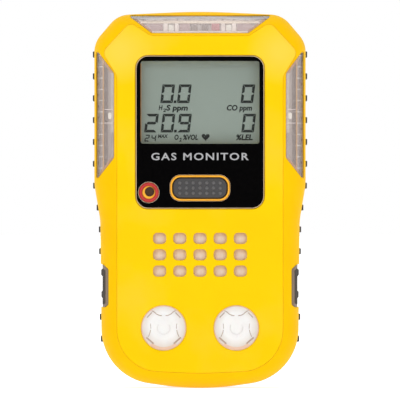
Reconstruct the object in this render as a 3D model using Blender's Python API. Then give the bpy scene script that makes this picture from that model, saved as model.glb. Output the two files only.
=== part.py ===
"""A portable four-gas detector, worn on a clip: two-part housing, soft bumper, alarm windows, display, push
button, gas sensors, electronics, cells and a sprung alligator clip on its back.

Frame: +X to the wearer's left as seen from the front, +Z up, and the front face looks along -Y. The origin
is the centre of the bounding box. All sizes below are in millimetres, and depth is measured from the front
face towards the back.
"""

from math import cos, pi, radians, sin, tan

import bmesh
import bpy
from mathutils import Matrix, Vector

MM = 0.001

# Driving dimensions of the whole object
HOUSING_DEPTH = 32.0
CLIP_PROUD = 13.68  # the thumb lever's edge stands this far behind the housing
Y_FRONT = -(HOUSING_DEPTH + CLIP_PROUD) / 2
Z_BOTTOM = -60.03  # half the height, with the slight bulge of the rounded ends

# Housing sections, as depths
FLANK_DEPTH = 9.0  # the rounded flank runs from the face to the widest section
FLANK_START = radians(15)  # the flank's slope where it leaves the face
FRONT_SHELL_BACK = 15.3
BUMPER_BACK = 16.0
REAR_SHELL_FRONT = 16.3
BUMPER_SKIN = 1.4
SHELL_SKIN_START = 1.7
SHELL_SKIN_END = 3.2
REAR_WALL = 2.6
REAR_SIDE_INSET = 0.2
SEAM_GAP = 0.1
GAP = 0.2

# Half outlines from the bottom centre to the top centre: x, z, fillet radius, fillet steps
SILHOUETTE = [
    (0.0, -0.8, 85.0, 4),
    (31.3, 3.6, 17.6, 6),
    (31.8, 53.5, 20.0, 2),
    (33.7, 64.8, 20.0, 2),
    (33.7, 88.0, 0.0, 2),
    (33.7, 110.2, 8.0, 3),
    (26.2, 119.0, 8.0, 3),
    (16.0, 119.49, 0.0, 2),
    (0.0, 120.25, 200.0, 4),
]
FACE = [
    (0.0, 4.8, 110.0, 4),
    (26.45, 6.0, 13.5, 6),
    (26.45, 53.5, 0.0, 2),
    (26.45, 64.8, 0.0, 2),
    (26.45, 99.4, 4.0, 2),
    (31.1, 107.0, 2.5, 3),
    (22.3, 116.6, 2.5, 3),
    (15.6, 112.3, 2.0, 2),
    (0.0, 112.3, 0.0, 4),
]
STRAIGHT_SPREAD = 0.5  # how far the points of a corner that doesn't turn are spread

# Alarm windows: outlines in the front view
TOP_WINDOW = [(22.4, 118.6), (-22.4, 118.6), (-15.5, 113.1), (15.5, 113.1)]
SIDE_WINDOW = [(27.35, 73.4), (32.8, 66.6), (32.8, 107.6), (27.35, 100.4)]
WINDOW_RADIUS = 0.8
LENS_SKIN = 1.4
REFLECTOR_SKIN = (3.0, 3.8)
LED_SIZE = (2.6, 2.6, 0.9)
LED_BELOW_SURFACE = 2.2
LED_TOP_X, LED_TOP_Z = 9.2, 116.5
LED_SIDE_X, LED_SIDE_Z = 30.0, 87.0

# Display window, button and sound port
WINDOW_Z = (57.3, 105.9)
WINDOW_HALF_WIDTH = 20.4
WINDOW_CORNER = 4.0
POCKET_FLOOR = 2.0
WINDOW_SHEET = (0.5, 1.2)
MASK_SHEET = (1.3, 1.5)
ADHESIVE_SHEET = (1.6, 1.9)
LCD_HALF_WIDTH = 18.9
LCD_Z = (77.9, 104.2)
BUTTON_Z = 63.8
BUTTON_SIZE = (17.2, 6.4, 2.6)  # width, height, corner radius
COLLAR_OPENING = (17.7, 6.9, 2.8)
COLLAR_OUTSIDE = (19.2, 8.4, 3.3)
COLLAR_TOP = 0.15
BUTTON_TOP = 0.35
BUTTON_BUMPS = (7, 3, 2.15, 1.64)  # columns, rows, pitches
BUMP_TOP = 0.1
PORT_X, PORT_Z = -16.3, 62.4
PORT_HOLE = (0.25, 0.3, 1.3)  # offset from the middle of the tube, radius
PORT_TUBE_RADIUS = 1.95
PORT_RING = (2.1, 3.15)

# Gas inlets
GRILLE_Z = 42.6
GRILLE_PITCH = (6.42, 5.2)
GRILLE_COUNT = (5, 3)
GRILLE_HOLE = (4.1, 3.5, 1.3)
GRILLE_BAR = 1.4
GRILLE_POCKET = (33.0, 18.0, 2.0)
SENSOR_X, SENSOR_Z = 11.56, 19.3
SCREEN_RADIUS = 7.0
SCREEN_HOLE = 7.2
DISH_RADIUS = 8.3
DISH_DEPTH = 0.3
SENSOR_RADIUS = 10.1

# Side grips and the dock notches that show them
NUB_TOP = 106.6
NUB_PITCH = 7.0
NUB_COUNT = 14
NUB_HEIGHT = 2.1
NUB_RISE = 0.45
NUB_CHAMFER = 0.15
GRIP_INSET = 0.4
GRIP_FOOT = 1.6
GRIP_Z = (13.4, 108.9)
GRIP_DEPTH = (18.0, 27.0)
NOTCH = [(34.0, 40.5), (30.6, 39.3), (29.15, 38.0), (29.15, 26.7), (30.0, 25.9), (34.0, 25.7)]
NOTCH_Z = (26.2, 38.9)
TONGUE_DEPTH = (4.6, 18.6)
TONGUE_INNER = 29.35
DOCK_NUBS = (10, 11)  # the nubs that reach forward into the dock notch

# Screws
SCREW_PLACES = {
    "upper_left": (-25.5, 105.5),
    "upper_right": (25.5, 105.5),
    "middle_left": (-25.8, 50.0),
    "middle_right": (25.8, 50.0),
    "lower_left": (-24.8, 14.0),
    "lower_right": (24.8, 14.0),
}
BOSS_RADIUS = 2.8
SCREW_HOLE = 1.5
SCREW_SHANK = 1.2
SCREW_HEAD = 2.4
SCREW_SEAT = 27.0

# Clip on the back
CLIP_FACE = HOUSING_DEPTH + 1.5  # the outer face of the clip's base plate
CLIP_SHEET = 1.2
CLIP_HALF_WIDTH = 8.5
CLIP_Z = (49.3, 97.0)
CLIP_SCREW_Z = 53.2
PIVOT_Z, PIVOT_DEPTH = 86.0, 37.2
PIN_RADIUS = 1.2
PIN_HOLE = 1.3
JAW_HALF_WIDTH = 7.0
JAW_LINE = [(106.4, 45.1), (92.5, 41.4), (68.0, 41.2), (62.6, 39.2), (58.9, 34.4)]
JAW_TEETH = 5
SPRING_RADIUS = 2.2
SPRING_WIRE = 0.35
SPRING_TURNS = 4.5
SPRING_HALF_WIDTH = 2.4

# Electronics and cells
MAIN_BOARD = (9.5, 11.1)
SENSOR_BOARD = (21.5, 23.1)
CELL_RADIUS = 7.2
CELL_X = 7.5
CELL_DEPTH = 19.5
CELL_Z = (58.6, 109.0)
MOTOR_X, MOTOR_DEPTH = 16.6, 7.0


# Meshes


def at(x, z, depth):
    """A point of the design as a vector in metres."""
    return Vector((x * MM, (Y_FRONT + depth) * MM, (Z_BOTTOM + z) * MM))


def new_object(name, bm):
    """Makes a closed mesh object out of bm, with its faces pointing out."""
    bmesh.ops.remove_doubles(bm, verts=bm.verts, dist=0.002 * MM)
    bmesh.ops.recalc_face_normals(bm, faces=bm.faces)
    mesh = bpy.data.meshes.new(name)
    bm.to_mesh(mesh)
    bm.free()
    obj = bpy.data.objects.new(name, mesh)
    bpy.context.scene.collection.objects.link(obj)
    return obj


def solid_of_rings(name, rings):
    """A closed solid through rings of points that match one another, capped at both ends."""
    bm = bmesh.new()
    loops = [[bm.verts.new(point) for point in ring] for ring in rings]
    for near, far in zip(loops, loops[1:]):
        for i in range(len(near)):
            j = (i + 1) % len(near)
            bm.faces.new((near[i], near[j], far[j], far[i]))
    bm.faces.new(loops[0])
    bm.faces.new(list(reversed(loops[-1])))
    return new_object(name, bm)


def loft(name, sections):
    """A closed solid through (outline, depth) sections."""
    return solid_of_rings(name, [[at(x, z, depth) for x, z in outline] for outline, depth in sections])


def prism(name, outline, front, back):
    return loft(name, [(outline, front), (outline, back)])


def box(name, x_range, z_range, depth_range):
    (x0, x1), (z0, z1) = x_range, z_range
    return prism(name, [(x0, z0), (x1, z0), (x1, z1), (x0, z1)], *depth_range)


def side_prism(name, profile, x_range):
    """A closed solid with a (z, depth) profile, drawn out along X."""
    return solid_of_rings(name, [[at(x, z, depth) for z, depth in profile] for x in x_range])


def turned(name, centre, axis, profile, segments=24):
    """A solid of revolution. centre is (x, z, depth) and profile holds (radius, distance along axis)."""
    toward, across = {
        "depth": (Vector((0, 1, 0)), Vector((1, 0, 0))),
        "x": (Vector((1, 0, 0)), Vector((0, 0, 1))),
        "z": (Vector((0, 0, 1)), Vector((1, 0, 0))),
    }[axis]
    other = toward.cross(across)
    turn = [2 * pi * k / segments for k in range(segments)]
    rings = [
        [
            at(*centre) + (toward * along + (across * cos(a) + other * sin(a)) * radius) * MM
            for a in turn
        ]
        for radius, along in profile
    ]
    return solid_of_rings(name, rings)


def turned_ring(name, centre, profile, segments=24):
    """A ring turned about the depth axis from a closed (radius, depth) profile that stays off the axis."""
    bm = bmesh.new()
    x, z = centre
    loops = []
    for k in range(segments):
        a = 2 * pi * k / segments
        loops.append([bm.verts.new(at(x + r * cos(a), z + r * sin(a), depth)) for r, depth in profile])
    for k in range(segments):
        near, far = loops[k], loops[(k + 1) % segments]
        for i in range(len(profile)):
            j = (i + 1) % len(profile)
            bm.faces.new((near[i], near[j], far[j], far[i]))
    return new_object(name, bm)


def applied(obj):
    """obj with its modifiers made part of its mesh."""
    bpy.context.view_layer.update()
    graph = bpy.context.evaluated_depsgraph_get()
    mesh = bpy.data.meshes.new_from_object(obj.evaluated_get(graph))
    obj.modifiers.clear()
    old, obj.data = obj.data, mesh
    bpy.data.meshes.remove(old)
    return obj


def combine(obj, operation, *others):
    """Unites, cuts or intersects obj with the other objects, which are used up."""
    for other in others:
        modifier = obj.modifiers.new(operation.lower(), "BOOLEAN")
        modifier.operation = operation
        modifier.solver = "EXACT"
        modifier.object = other
        applied(obj)
        bpy.data.objects.remove(other)
    return obj


def cut(obj, *cutters):
    return combine(obj, "DIFFERENCE", *cutters)


def join(obj, *others):
    return combine(obj, "UNION", *others)


def clip_to(obj, other):
    return combine(obj, "INTERSECT", other)


def set_origin(obj, x, z, depth):
    """Moves the object's origin to a point, such as one on its joint's axis, and keeps its shape in place."""
    point = at(x, z, depth)
    obj.data.transform(Matrix.Translation(-point))
    obj.location = point
    return obj


# Outlines


def mirrored(half):
    """The whole loop of corners from its half, counter-clockwise as seen from the front."""
    return half + [(-x, z, radius, steps) for x, z, radius, steps in reversed(half[1:-1])]


def directions(corners, i):
    """Unit vectors along the edges into and out of corner i."""
    here = Vector(corners[i][:2])
    before = Vector(corners[i - 1][:2])
    after = Vector(corners[(i + 1) % len(corners)][:2])
    return (here - before).normalized(), (after - here).normalized()


def inset(corners, amount):
    """Moves every edge of a counter-clockwise loop inwards, with its fillets kept concentric."""
    moved = []
    for i, (x, z, radius, steps) in enumerate(corners):
        into, out = directions(corners, i)
        inwards_1, inwards_2 = Vector((-into.y, into.x)), Vector((-out.y, out.x))
        shift = (inwards_1 + inwards_2) * (amount / (1 + inwards_1.dot(inwards_2)))
        turns_left = into.cross(out) > 0
        new_radius = max(radius - amount, 0.4) if turns_left else radius + amount
        moved.append((x + shift.x, z + shift.y, new_radius, steps))
    return moved


def mix(first, second, share):
    """Corners part of the way from one loop to another that has the same corners."""
    return [
        tuple(a + (b - a) * share for a, b in zip(p[:3], q[:3])) + (p[3],)
        for p, q in zip(first, second)
    ]


def outline_of(corners):
    """The points of a loop of corners, with each fillet as an arc."""
    points = []
    for i, (x, z, radius, steps) in enumerate(corners):
        into, out = directions(corners, i)
        here = Vector((x, z))
        angle = into.angle_signed(out)
        bend = abs(angle)
        if bend < radians(1) or radius == 0:
            points += [
                here + (into if s < 0 else out) * (s * STRAIGHT_SPREAD)
                for s in [2 * k / steps - 1 for k in range(steps + 1)]
            ]
            continue
        start = here - into * (radius * tan(bend / 2))
        side = 1 if into.cross(out) > 0 else -1
        centre = start + Vector((-into.y, into.x)) * (side * radius)
        for k in range(steps + 1):
            spoke = start - centre
            spoke.rotate(Matrix.Rotation(side * bend * k / steps, 2))
            points.append(centre + spoke)
    return [(p.x, p.y) for p in points]


def rounded(points, radius, steps=3):
    """The outline of a polygon, given counter-clockwise, with every corner rounded."""
    return outline_of([(x, z, radius, steps) for x, z in points])


def rounded_rectangle(centre, size, steps=3):
    x, z = centre
    width, height, radius = size
    half = ((-1, -1), (1, -1), (1, 1), (-1, 1))
    return rounded([(x + sx * width / 2, z + sz * height / 2) for sx, sz in half], radius, steps)


def grown(size, amount):
    """A rounded rectangle's size with amount added all round."""
    width, height, radius = size
    return width + 2 * amount, height + 2 * amount, radius + amount


# Housing


WHOLE_SILHOUETTE = mirrored(SILHOUETTE)
WHOLE_FACE = mirrored(FACE)
RIGHT_EDGE = [(x, z) for x, z in outline_of(WHOLE_SILHOUETTE) if x > 0]
FLANK_ANGLES = [radians(a) for a in (15, 40, 65, 90)]


def half_width(z):
    """Half the housing's width at a height."""
    for (x0, z0), (x1, z1) in zip(RIGHT_EDGE, RIGHT_EDGE[1:]):
        if z0 <= z <= z1:
            return x0 + (x1 - x0) * (z - z0) / (z1 - z0)
    return 0.0


def flank(angle):
    """Share of the way from face to silhouette, and the depth, where the flank's slope is angle."""
    share = (sin(angle) - sin(FLANK_START)) / (1 - sin(FLANK_START))
    return share, FLANK_DEPTH * (cos(FLANK_START) - cos(angle)) / cos(FLANK_START)


def front_body(name, skin, back):
    """The housing's front half, every surface moved inwards by skin, closed at the given depth."""
    sections = []
    for angle in FLANK_ANGLES:
        share, depth = flank(angle)
        corners = inset(mix(WHOLE_FACE, WHOLE_SILHOUETTE, share), skin * sin(angle))
        sections.append((outline_of(corners), depth + skin * cos(angle)))
    sections.append((outline_of(inset(WHOLE_SILHOUETTE, skin)), back))
    return loft(name, sections)


def mirrored_points(points):
    return [(-x, z) for x, z in reversed(points)]


def windows(margin):
    """The three alarm windows' outlines by name, moved inwards by margin."""
    shapes = {"top": TOP_WINDOW, "right": SIDE_WINDOW, "left": mirrored_points(SIDE_WINDOW)}
    loops = {side: [(x, z, WINDOW_RADIUS, 2) for x, z in points] for side, points in shapes.items()}
    return {side: outline_of(inset(corners, margin)) for side, corners in loops.items()}


def window_cutters():
    return [prism("cutter", outline, -1, 20) for outline in windows(0.0).values()]


def notch_cutters(front, back):
    return [prism("cutter", points, front, back) for points in (NOTCH, mirrored_points(NOTCH))]


def window_outline(clearance):
    low, high = WINDOW_Z
    size = (2 * WINDOW_HALF_WIDTH, high - low, WINDOW_CORNER)
    return rounded_rectangle((0, (low + high) / 2), grown(size, clearance), 5)


def lcd_outline(margin, corner):
    low, high = LCD_Z
    size = (2 * LCD_HALF_WIDTH + 2 * margin, high - low + 2 * margin, corner)
    return rounded_rectangle((0, (low + high) / 2), size, 2)


def grille_places():
    columns, rows = GRILLE_COUNT
    pitch_x, pitch_z = GRILLE_PITCH
    for row in range(rows):
        for column in range(columns):
            yield (column - (columns - 1) / 2) * pitch_x, GRILLE_Z + (row - (rows - 1) / 2) * pitch_z


def make_front_shell():
    shell = front_body("front_shell", SHELL_SKIN_START, FRONT_SHELL_BACK)
    plate = prism("plate", outline_of(inset(WHOLE_FACE, SEAM_GAP)), 0, SHELL_SKIN_START + 1.0)
    join(shell, plate)
    cut(shell, front_body("cavity", SHELL_SKIN_END, FRONT_SHELL_BACK + 3))
    for x, z in SCREW_PLACES.values():
        profile = [(BOSS_RADIUS, 2.0), (BOSS_RADIUS, FRONT_SHELL_BACK)]
        boss = turned("boss", (x, z, 0), "depth", profile, 16)
        join(shell, clip_to(boss, front_body("core", SHELL_SKIN_START + 0.3, FRONT_SHELL_BACK + 1)))
    pilots = [
        turned("pilot", (x, z, 0), "depth", [(SCREW_HOLE, 8), (SCREW_HOLE, 17)], 12)
        for x, z in SCREW_PLACES.values()
    ]
    cut(shell, *pilots)
    cut(shell, *window_cutters())
    cut(shell, *notch_cutters(-1, 20))
    cut(shell, prism("pocket", window_outline(GAP), -1, POCKET_FLOOR))
    cut(shell, prism("aperture", lcd_outline(0.3, 1.0), 1, 6))
    collar = prism("collar", rounded_rectangle((0, BUTTON_Z), COLLAR_OUTSIDE), COLLAR_TOP, 2.6)
    tube = turned("tube", (PORT_X, PORT_Z, 0), "depth", [(PORT_TUBE_RADIUS, 0.6), (PORT_TUBE_RADIUS, 2.6)], 20)
    join(shell, collar, tube)
    cut(shell, prism("button_hole", rounded_rectangle((0, BUTTON_Z), COLLAR_OPENING), -1, 6))
    right, up, radius = PORT_HOLE
    cut(shell, turned("port", (PORT_X + right, PORT_Z + up, 0), "depth", [(radius, -1), (radius, 6)], 20))
    cut(shell, prism("pocket", rounded_rectangle((0, GRILLE_Z), GRILLE_POCKET), GRILLE_BAR, 6))
    for place in grille_places():
        cut(shell, prism("hole", rounded_rectangle(place, GRILLE_HOLE, 2), -1, 3))
    for x in (-SENSOR_X, SENSOR_X):
        dish = [(DISH_RADIUS, -1), (DISH_RADIUS, 0), (SCREEN_HOLE, DISH_DEPTH), (SCREEN_HOLE, 6)]
        cut(shell, turned("dish", (x, SENSOR_Z, 0), "depth", dish, 32))
    return shell


def make_bumper():
    bumper = front_body("bumper", 0.0, BUMPER_BACK)
    cut(bumper, front_body("core", BUMPER_SKIN, BUMPER_BACK + 3))
    cut(bumper, prism("face", outline_of(WHOLE_FACE), -1, 5))
    cut(bumper, *window_cutters())
    cut(bumper, *notch_cutters(-1, 20))
    return bumper


def make_alarm_windows():
    made = []
    for side, outline in windows(0.15).items():
        lens = front_body(f"{side}_alarm_lens", 0.0, 14)
        clip_to(lens, prism("window", outline, -1, 12))
        cut(lens, front_body("core", LENS_SKIN, 16))
        reflector = front_body(f"{side}_reflector", REFLECTOR_SKIN[0], 14)
        clip_to(reflector, prism("window", outline, -1, 12))
        cut(reflector, front_body("core", REFLECTOR_SKIN[1], 16))
        made += [lens, reflector]
    return made


def led(name, x, z, tilt_axis, tilt, depth):
    """An LED chip that faces out of the flank, with its centre below the lens's surface."""
    width, height, thickness = LED_SIZE
    chip = prism(name, rounded_rectangle((0, -Z_BOTTOM), (width, height, 0.4), 2), 0, thickness)
    chip.data.transform(Matrix.Translation((0, -(Y_FRONT + thickness / 2) * MM, 0)))
    chip.matrix_world = Matrix.Translation(at(x, z, depth)) @ Matrix.Rotation(tilt, 4, tilt_axis)
    return chip


def slope_at(share):
    """The flank's slope and depth at a share of the way from face to silhouette."""
    sine = sin(FLANK_START) + share * (1 - sin(FLANK_START))
    slope = Vector((1, 0)).angle(Vector(((1 - sine**2) ** 0.5, sine)))
    return slope, flank(slope)[1]


def make_leds():
    face_x, side_x = FACE[4][0], SILHOUETTE[4][0]
    slope, depth = slope_at((LED_SIDE_X - face_x) / (side_x - face_x))
    x = LED_SIDE_X - LED_BELOW_SURFACE * sin(slope)
    leds = [
        led(f"{side}_led", sign * x, LED_SIDE_Z, "Z", sign * slope, depth + LED_BELOW_SURFACE * cos(slope))
        for side, sign in (("left", -1), ("right", 1))
    ]
    face_z, top_z = FACE[7][1], SILHOUETTE[7][1]
    slope, depth = slope_at((LED_TOP_Z - face_z) / (top_z - face_z))
    z = LED_TOP_Z - LED_BELOW_SURFACE * sin(slope)
    leds += [
        led(f"top_{side}_led", sign * LED_TOP_X, z, "X", -slope, depth + LED_BELOW_SURFACE * cos(slope))
        for side, sign in (("left", -1), ("right", 1))
    ]
    return leds


def make_rear_shell():
    side, back = REAR_SIDE_INSET, HOUSING_DEPTH
    outside = [(side, REAR_SHELL_FRONT), (side, back - 5.0), (side + 1.2, back - 1.8), (side + 4.0, back)]
    wall = side + REAR_WALL
    inside = [(wall, REAR_SHELL_FRONT - 2), (wall, back - 6.4), (wall + 3.2, back - REAR_WALL)]
    rings = {
        name: [(outline_of(inset(WHOLE_SILHOUETTE, amount)), depth) for amount, depth in steps]
        for name, steps in (("rear_shell", outside), ("cavity", inside))
    }
    shell = loft("rear_shell", rings["rear_shell"])
    cut(shell, loft("cavity", rings["cavity"]))
    for x, z in SCREW_PLACES.values():
        boss = [(BOSS_RADIUS, REAR_SHELL_FRONT + 0.2), (BOSS_RADIUS, back - 2.0)]
        join(shell, turned("boss", (x, z, 0), "depth", boss, 16))
    clip_boss = [(3.4, back - 6.6), (3.4, back - 1.5)]
    join(shell, turned("boss", (0, CLIP_SCREW_Z, 0), "depth", clip_boss, 20))
    for x in (-CLIP_HALF_WIDTH - 1.0, CLIP_HALF_WIDTH + 1.0):
        join(shell, box("rib", (x - 0.6, x + 0.6), (58.0, 96.0), (back - 1.0, back + 1.1)))
    for x, z in SCREW_PLACES.values():
        sink = SCREW_HEAD + 0.3
        bore = [(SCREW_HOLE, 14), (SCREW_HOLE, SCREW_SEAT), (sink, SCREW_SEAT), (sink, back + 2)]
        cut(shell, turned("bore", (x, z, 0), "depth", bore, 16))
    cut(shell, turned("bore", (0, CLIP_SCREW_Z, 0), "depth", [(2.1, back - 8), (2.1, back + 2)], 20))
    cut(shell, box("label_pocket", (-16.2, 16.2), (15.8, 42.2), (back - 0.5, back + 1)))
    cut(shell, prism("ir_hole", rounded_rectangle((0, 9.8), (9.0, 3.6, 1.6)), back - 6, back + 1))
    cut(shell, *grip_grooves())
    return shell


def nub_outline(k, foot):
    """The outline of nub k, counting from the top, with its foot this far inside the housing's edge."""
    z = NUB_TOP - k * NUB_PITCH
    low, high = z - NUB_HEIGHT / 2, z + NUB_HEIGHT / 2
    tip = half_width(z) + NUB_RISE
    inner = half_width(z) - foot
    return [(inner, low), (tip, low + NUB_CHAMFER), (tip, high - NUB_CHAMFER), (inner, high)]


def grip_foot(margin):
    """The grip's inner edge from top to bottom, moved inwards by margin."""
    low, high = GRIP_Z[0] - margin, GRIP_Z[1] + margin
    return [(half_width(z) - GRIP_FOOT - margin, z) for z in (high, 64.8, 53.5, 19.0, low)]


def tongue_outline(outer, margin):
    """The part of the grip that fills the dock notch, from its inner edge out to x = outer."""
    low, high = NOTCH_Z[0] - margin, NOTCH_Z[1] + margin
    inner = TONGUE_INNER - margin
    inner_end = [(inner + 0.8, high), (inner, high - 0.8), (inner, low + 0.8), (inner + 0.8, low)]
    return [(outer, low), (outer, high)] + inner_end


def make_grips():
    """The soft side strips: a row of nubs along each side, and a tongue that fills the dock notch."""
    low, high = GRIP_Z
    edge = [(half_width(low) - GRIP_INSET, low)]
    for k in reversed(range(NUB_COUNT)):
        edge += nub_outline(k, GRIP_INSET)
    edge += [(half_width(high) - GRIP_INSET, high)]
    strip = edge + grip_foot(0.0)
    tongue = tongue_outline(half_width(sum(NOTCH_Z) / 2) - GRIP_INSET, 0.0)
    made = []
    for side, seen in (("right", list), ("left", mirrored_points)):
        grip = prism(f"{side}_grip", seen(strip), *GRIP_DEPTH)
        join(grip, prism("tongue", seen(tongue), *TONGUE_DEPTH))
        for k in DOCK_NUBS:
            nub = seen(nub_outline(k, GRIP_INSET + 0.5))
            join(grip, prism("nub", nub, TONGUE_DEPTH[0] + 1.0, GRIP_DEPTH[0] + 1.0))
        made.append(grip)
    return made


def grip_grooves():
    """Cutters for the grooves that hold the grips, open to the outside."""
    outside = SILHOUETTE[4][0] + 3.0
    low, high = GRIP_Z
    strip = [(outside, low - GAP), (outside, high + GAP)] + grip_foot(GAP)
    made = []
    for seen in (list, mirrored_points):
        made.append(prism("groove", seen(strip), GRIP_DEPTH[0] - GAP, GRIP_DEPTH[1] + GAP))
        made.append(prism("groove", seen(tongue_outline(outside, GAP)), 10, TONGUE_DEPTH[1] + GAP))
    return made


def make_seal():
    """The flat gasket between the two shells, a band that follows the silhouette."""
    outer = outline_of(inset(WHOLE_SILHOUETTE, 2.35))
    inner = outline_of(inset(WHOLE_SILHOUETTE, 3.1))
    front, back = FRONT_SHELL_BACK + 0.15, REAR_SHELL_FRONT - 0.15
    return cut(prism("main_seal", outer, front, back), prism("hole", inner, front - 1, back + 1))


# Front panel


def make_display():
    """The clear window, the black print behind it, the adhesive that holds it, and the sound port's ring."""
    made = []
    for name, (front, back), clearance, aperture in (
        ("display_window", WINDOW_SHEET, -0.1, 0.0),
        ("window_mask", MASK_SHEET, -0.3, 0.0),
        ("window_adhesive", ADHESIVE_SHEET, -0.3, 0.3),
    ):
        sheet = prism(name, window_outline(clearance), front, back)
        cut(sheet, prism("hole", rounded_rectangle((0, BUTTON_Z), grown(COLLAR_OUTSIDE, 0.15)), -1, 3))
        port = [(PORT_RING[1] + 0.15, -1), (PORT_RING[1] + 0.15, 3)]
        cut(sheet, turned("port", (PORT_X, PORT_Z, 0), "depth", port, 24))
        if name != "display_window":
            cut(sheet, prism("aperture", lcd_outline(aperture, 0.8), -1, 3))
        made.append(sheet)
    ring = [(PORT_RING[0], 0.45), (PORT_RING[1], 0.45), (PORT_RING[1], 1.9), (PORT_RING[0], 1.9)]
    made.append(turned_ring("sound_port_ring", (PORT_X, PORT_Z), ring))
    return made


def make_button():
    """The push button, its switch and the switch's plunger, in line along the press direction."""
    button = prism("push_button", rounded_rectangle((0, BUTTON_Z), BUTTON_SIZE), BUTTON_TOP, 3.6)
    join(button, prism("flange", rounded_rectangle((0, BUTTON_Z), grown(COLLAR_OPENING, 1.6)), 3.4, 4.4))
    join(button, turned("stem", (0, BUTTON_Z, 0), "depth", [(1.6, 4.0), (1.6, 5.6)], 12))
    columns, rows, pitch_x, pitch_z = BUTTON_BUMPS
    bump = [(0.25, BUMP_TOP), (0.5, BUMP_TOP + 0.15), (0.5, BUTTON_TOP + 0.2)]
    for i in range(columns):
        for j in range(rows):
            x = (i - (columns - 1) / 2) * pitch_x
            z = BUTTON_Z + (j - (rows - 1) / 2) * pitch_z
            join(button, turned("bump", (x, z, 0), "depth", bump, 6))
    set_origin(button, 0, BUTTON_Z, BUTTON_TOP)
    body = box("switch_body", (-3, 3), (BUTTON_Z - 3, BUTTON_Z + 3), (6.4, MAIN_BOARD[0] - 0.1))
    cut(body, turned("well", (0, BUTTON_Z, 0), "depth", [(1.75, 5), (1.75, 7.7)], 16))
    plunger = turned("switch_plunger", (0, BUTTON_Z, 0), "depth", [(1.5, 5.9), (1.5, 7.1)], 16)
    set_origin(plunger, 0, BUTTON_Z, 5.9)
    return [button, body, plunger]


def make_gas_inlets():
    width, height, radius = GRILLE_POCKET
    middle = (0, GRILLE_Z)
    membrane = prism("inlet_membrane", rounded_rectangle(middle, grown(GRILLE_POCKET, -0.3)), 1.5, 1.8)
    gasket = prism("inlet_gasket", rounded_rectangle(middle, grown(GRILLE_POCKET, -0.3)), 1.9, 3.2)
    cut(gasket, prism("hole", rounded_rectangle(middle, (width - 3.6, height - 3.0, radius)), 1, 5))
    can = [(8.8, 3.4), (SENSOR_RADIUS, 4.2), (SENSOR_RADIUS, 21.3)]
    made = [membrane, gasket, turned("combustible_sensor", (0, GRILLE_Z, 0), "depth", can, 24)]
    for side, x in (("left", -SENSOR_X), ("right", SENSOR_X)):
        dome = [(2.0, 0.4), (5.0, 0.7), (SCREEN_RADIUS, 1.5), (SCREEN_RADIUS, 3.4), (8.6, 3.4), (8.6, 4.1)]
        made.append(turned(f"{side}_sensor_screen", (x, SENSOR_Z, 0), "depth", dome, 28))
        ring = [(6.2, 4.3), (9.6, 4.3), (9.6, 5.0), (6.2, 5.0)]
        made.append(turned_ring(f"{side}_sensor_gasket", (x, SENSOR_Z), ring, 20))
        can = [(8.8, 5.2), (SENSOR_RADIUS, 5.8), (SENSOR_RADIUS, 21.3)]
        made.append(turned(f"{side}_sensor_cell", (x, SENSOR_Z, 0), "depth", can, 24))
    return made


# Inside


def make_boards():
    board = prism("main_board", rounded_rectangle((0, 83.2), (43.6, 56.4, 2.0)), *MAIN_BOARD)
    lower = [(-14, 7.5), (14, 7.5), (21.4, 14), (21.4, 54), (-21.4, 54), (-21.4, 14)]
    sensor_board = prism("sensor_board", rounded(lower, 1.0, 2), *SENSOR_BOARD)
    inner = [(56.3, 11.3), (56.3, 20.6), (50.0, 20.6), (50.0, 21.3)]
    outer = [(57.0, 21.3), (57.0, 12.0), (59.5, 12.0), (59.5, 11.3)]
    flex = side_prism("board_flex", inner + outer, (16.4, 20.8))
    glass = prism("lcd_glass", rounded_rectangle((0, 91.0), (41.6, 31.0, 0.6), 1), 3.4, 5.2)
    holder = prism("lcd_holder", rounded_rectangle((0, 91.0), (43.6, 33.6, 1.0), 2), 5.4, 9.3)
    cut(holder, box("recess", (-19.0, 19.0), (77.5, 104.5), (7.0, 10.0)))
    contacts = box("lcd_contact_strip", (-18, 18), (73.4, 73.9), (5.4, 9.3))
    return [board, sensor_board, flex, glass, holder, contacts]


def make_sounders():
    """The buzzer behind the sound port and the vibration motor with its off-centre weight."""
    horn = [(2.4, 3.4), (2.4, 4.0), (5.2, 4.0), (5.2, 9.3)]
    buzzer = turned("buzzer", (PORT_X, PORT_Z, 0), "depth", horn, 20)
    foot = (MOTOR_X, 0, MOTOR_DEPTH)
    motor = turned("vibration_motor", foot, "z", [(2.2, 56.6), (2.2, 66.0), (0.5, 66.0), (0.5, 70.6)], 16)
    weight = turned("vibrator_weight", foot, "z", [(2.3, 66.6), (2.3, 70.2)], 20)
    half = box("half", (MOTOR_X - 4, MOTOR_X - 0.9), (66, 71), (MOTOR_DEPTH - 4, MOTOR_DEPTH + 4))
    cut(weight, half, turned("bore", foot, "z", [(0.62, 66), (0.62, 71)], 12))
    set_origin(weight, MOTOR_X, 68.4, MOTOR_DEPTH)
    return [buzzer, motor, weight]


def make_cells():
    """Two cells side by side in a tray with an end wall above and below them."""
    low, high = CELL_Z
    shoulder = high - 0.8
    profile = [
        (6.6, low),
        (CELL_RADIUS, low + 0.5),
        (CELL_RADIUS, shoulder - 0.8),
        (6.4, shoulder),
        (3.0, shoulder),
        (3.0, high),
    ]
    made = [
        turned(f"{side}_battery_cell", (x, 0, CELL_DEPTH), "z", profile, 20)
        for side, x in (("left", -CELL_X), ("right", CELL_X))
    ]
    front, floor, back = CELL_DEPTH - 5.5, CELL_DEPTH + CELL_RADIUS + 0.3, 28.4
    walls = [
        (low - 1.4, front),
        (low - 0.3, front),
        (low - 0.3, floor),
        (high + 0.3, floor),
        (high + 0.3, front),
        (high + 1.4, front),
        (high + 1.4, back),
        (low - 1.4, back),
    ]
    return made + [side_prism("battery_tray", walls, (-15.4, 15.4))]


# Fasteners and the clip


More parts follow.
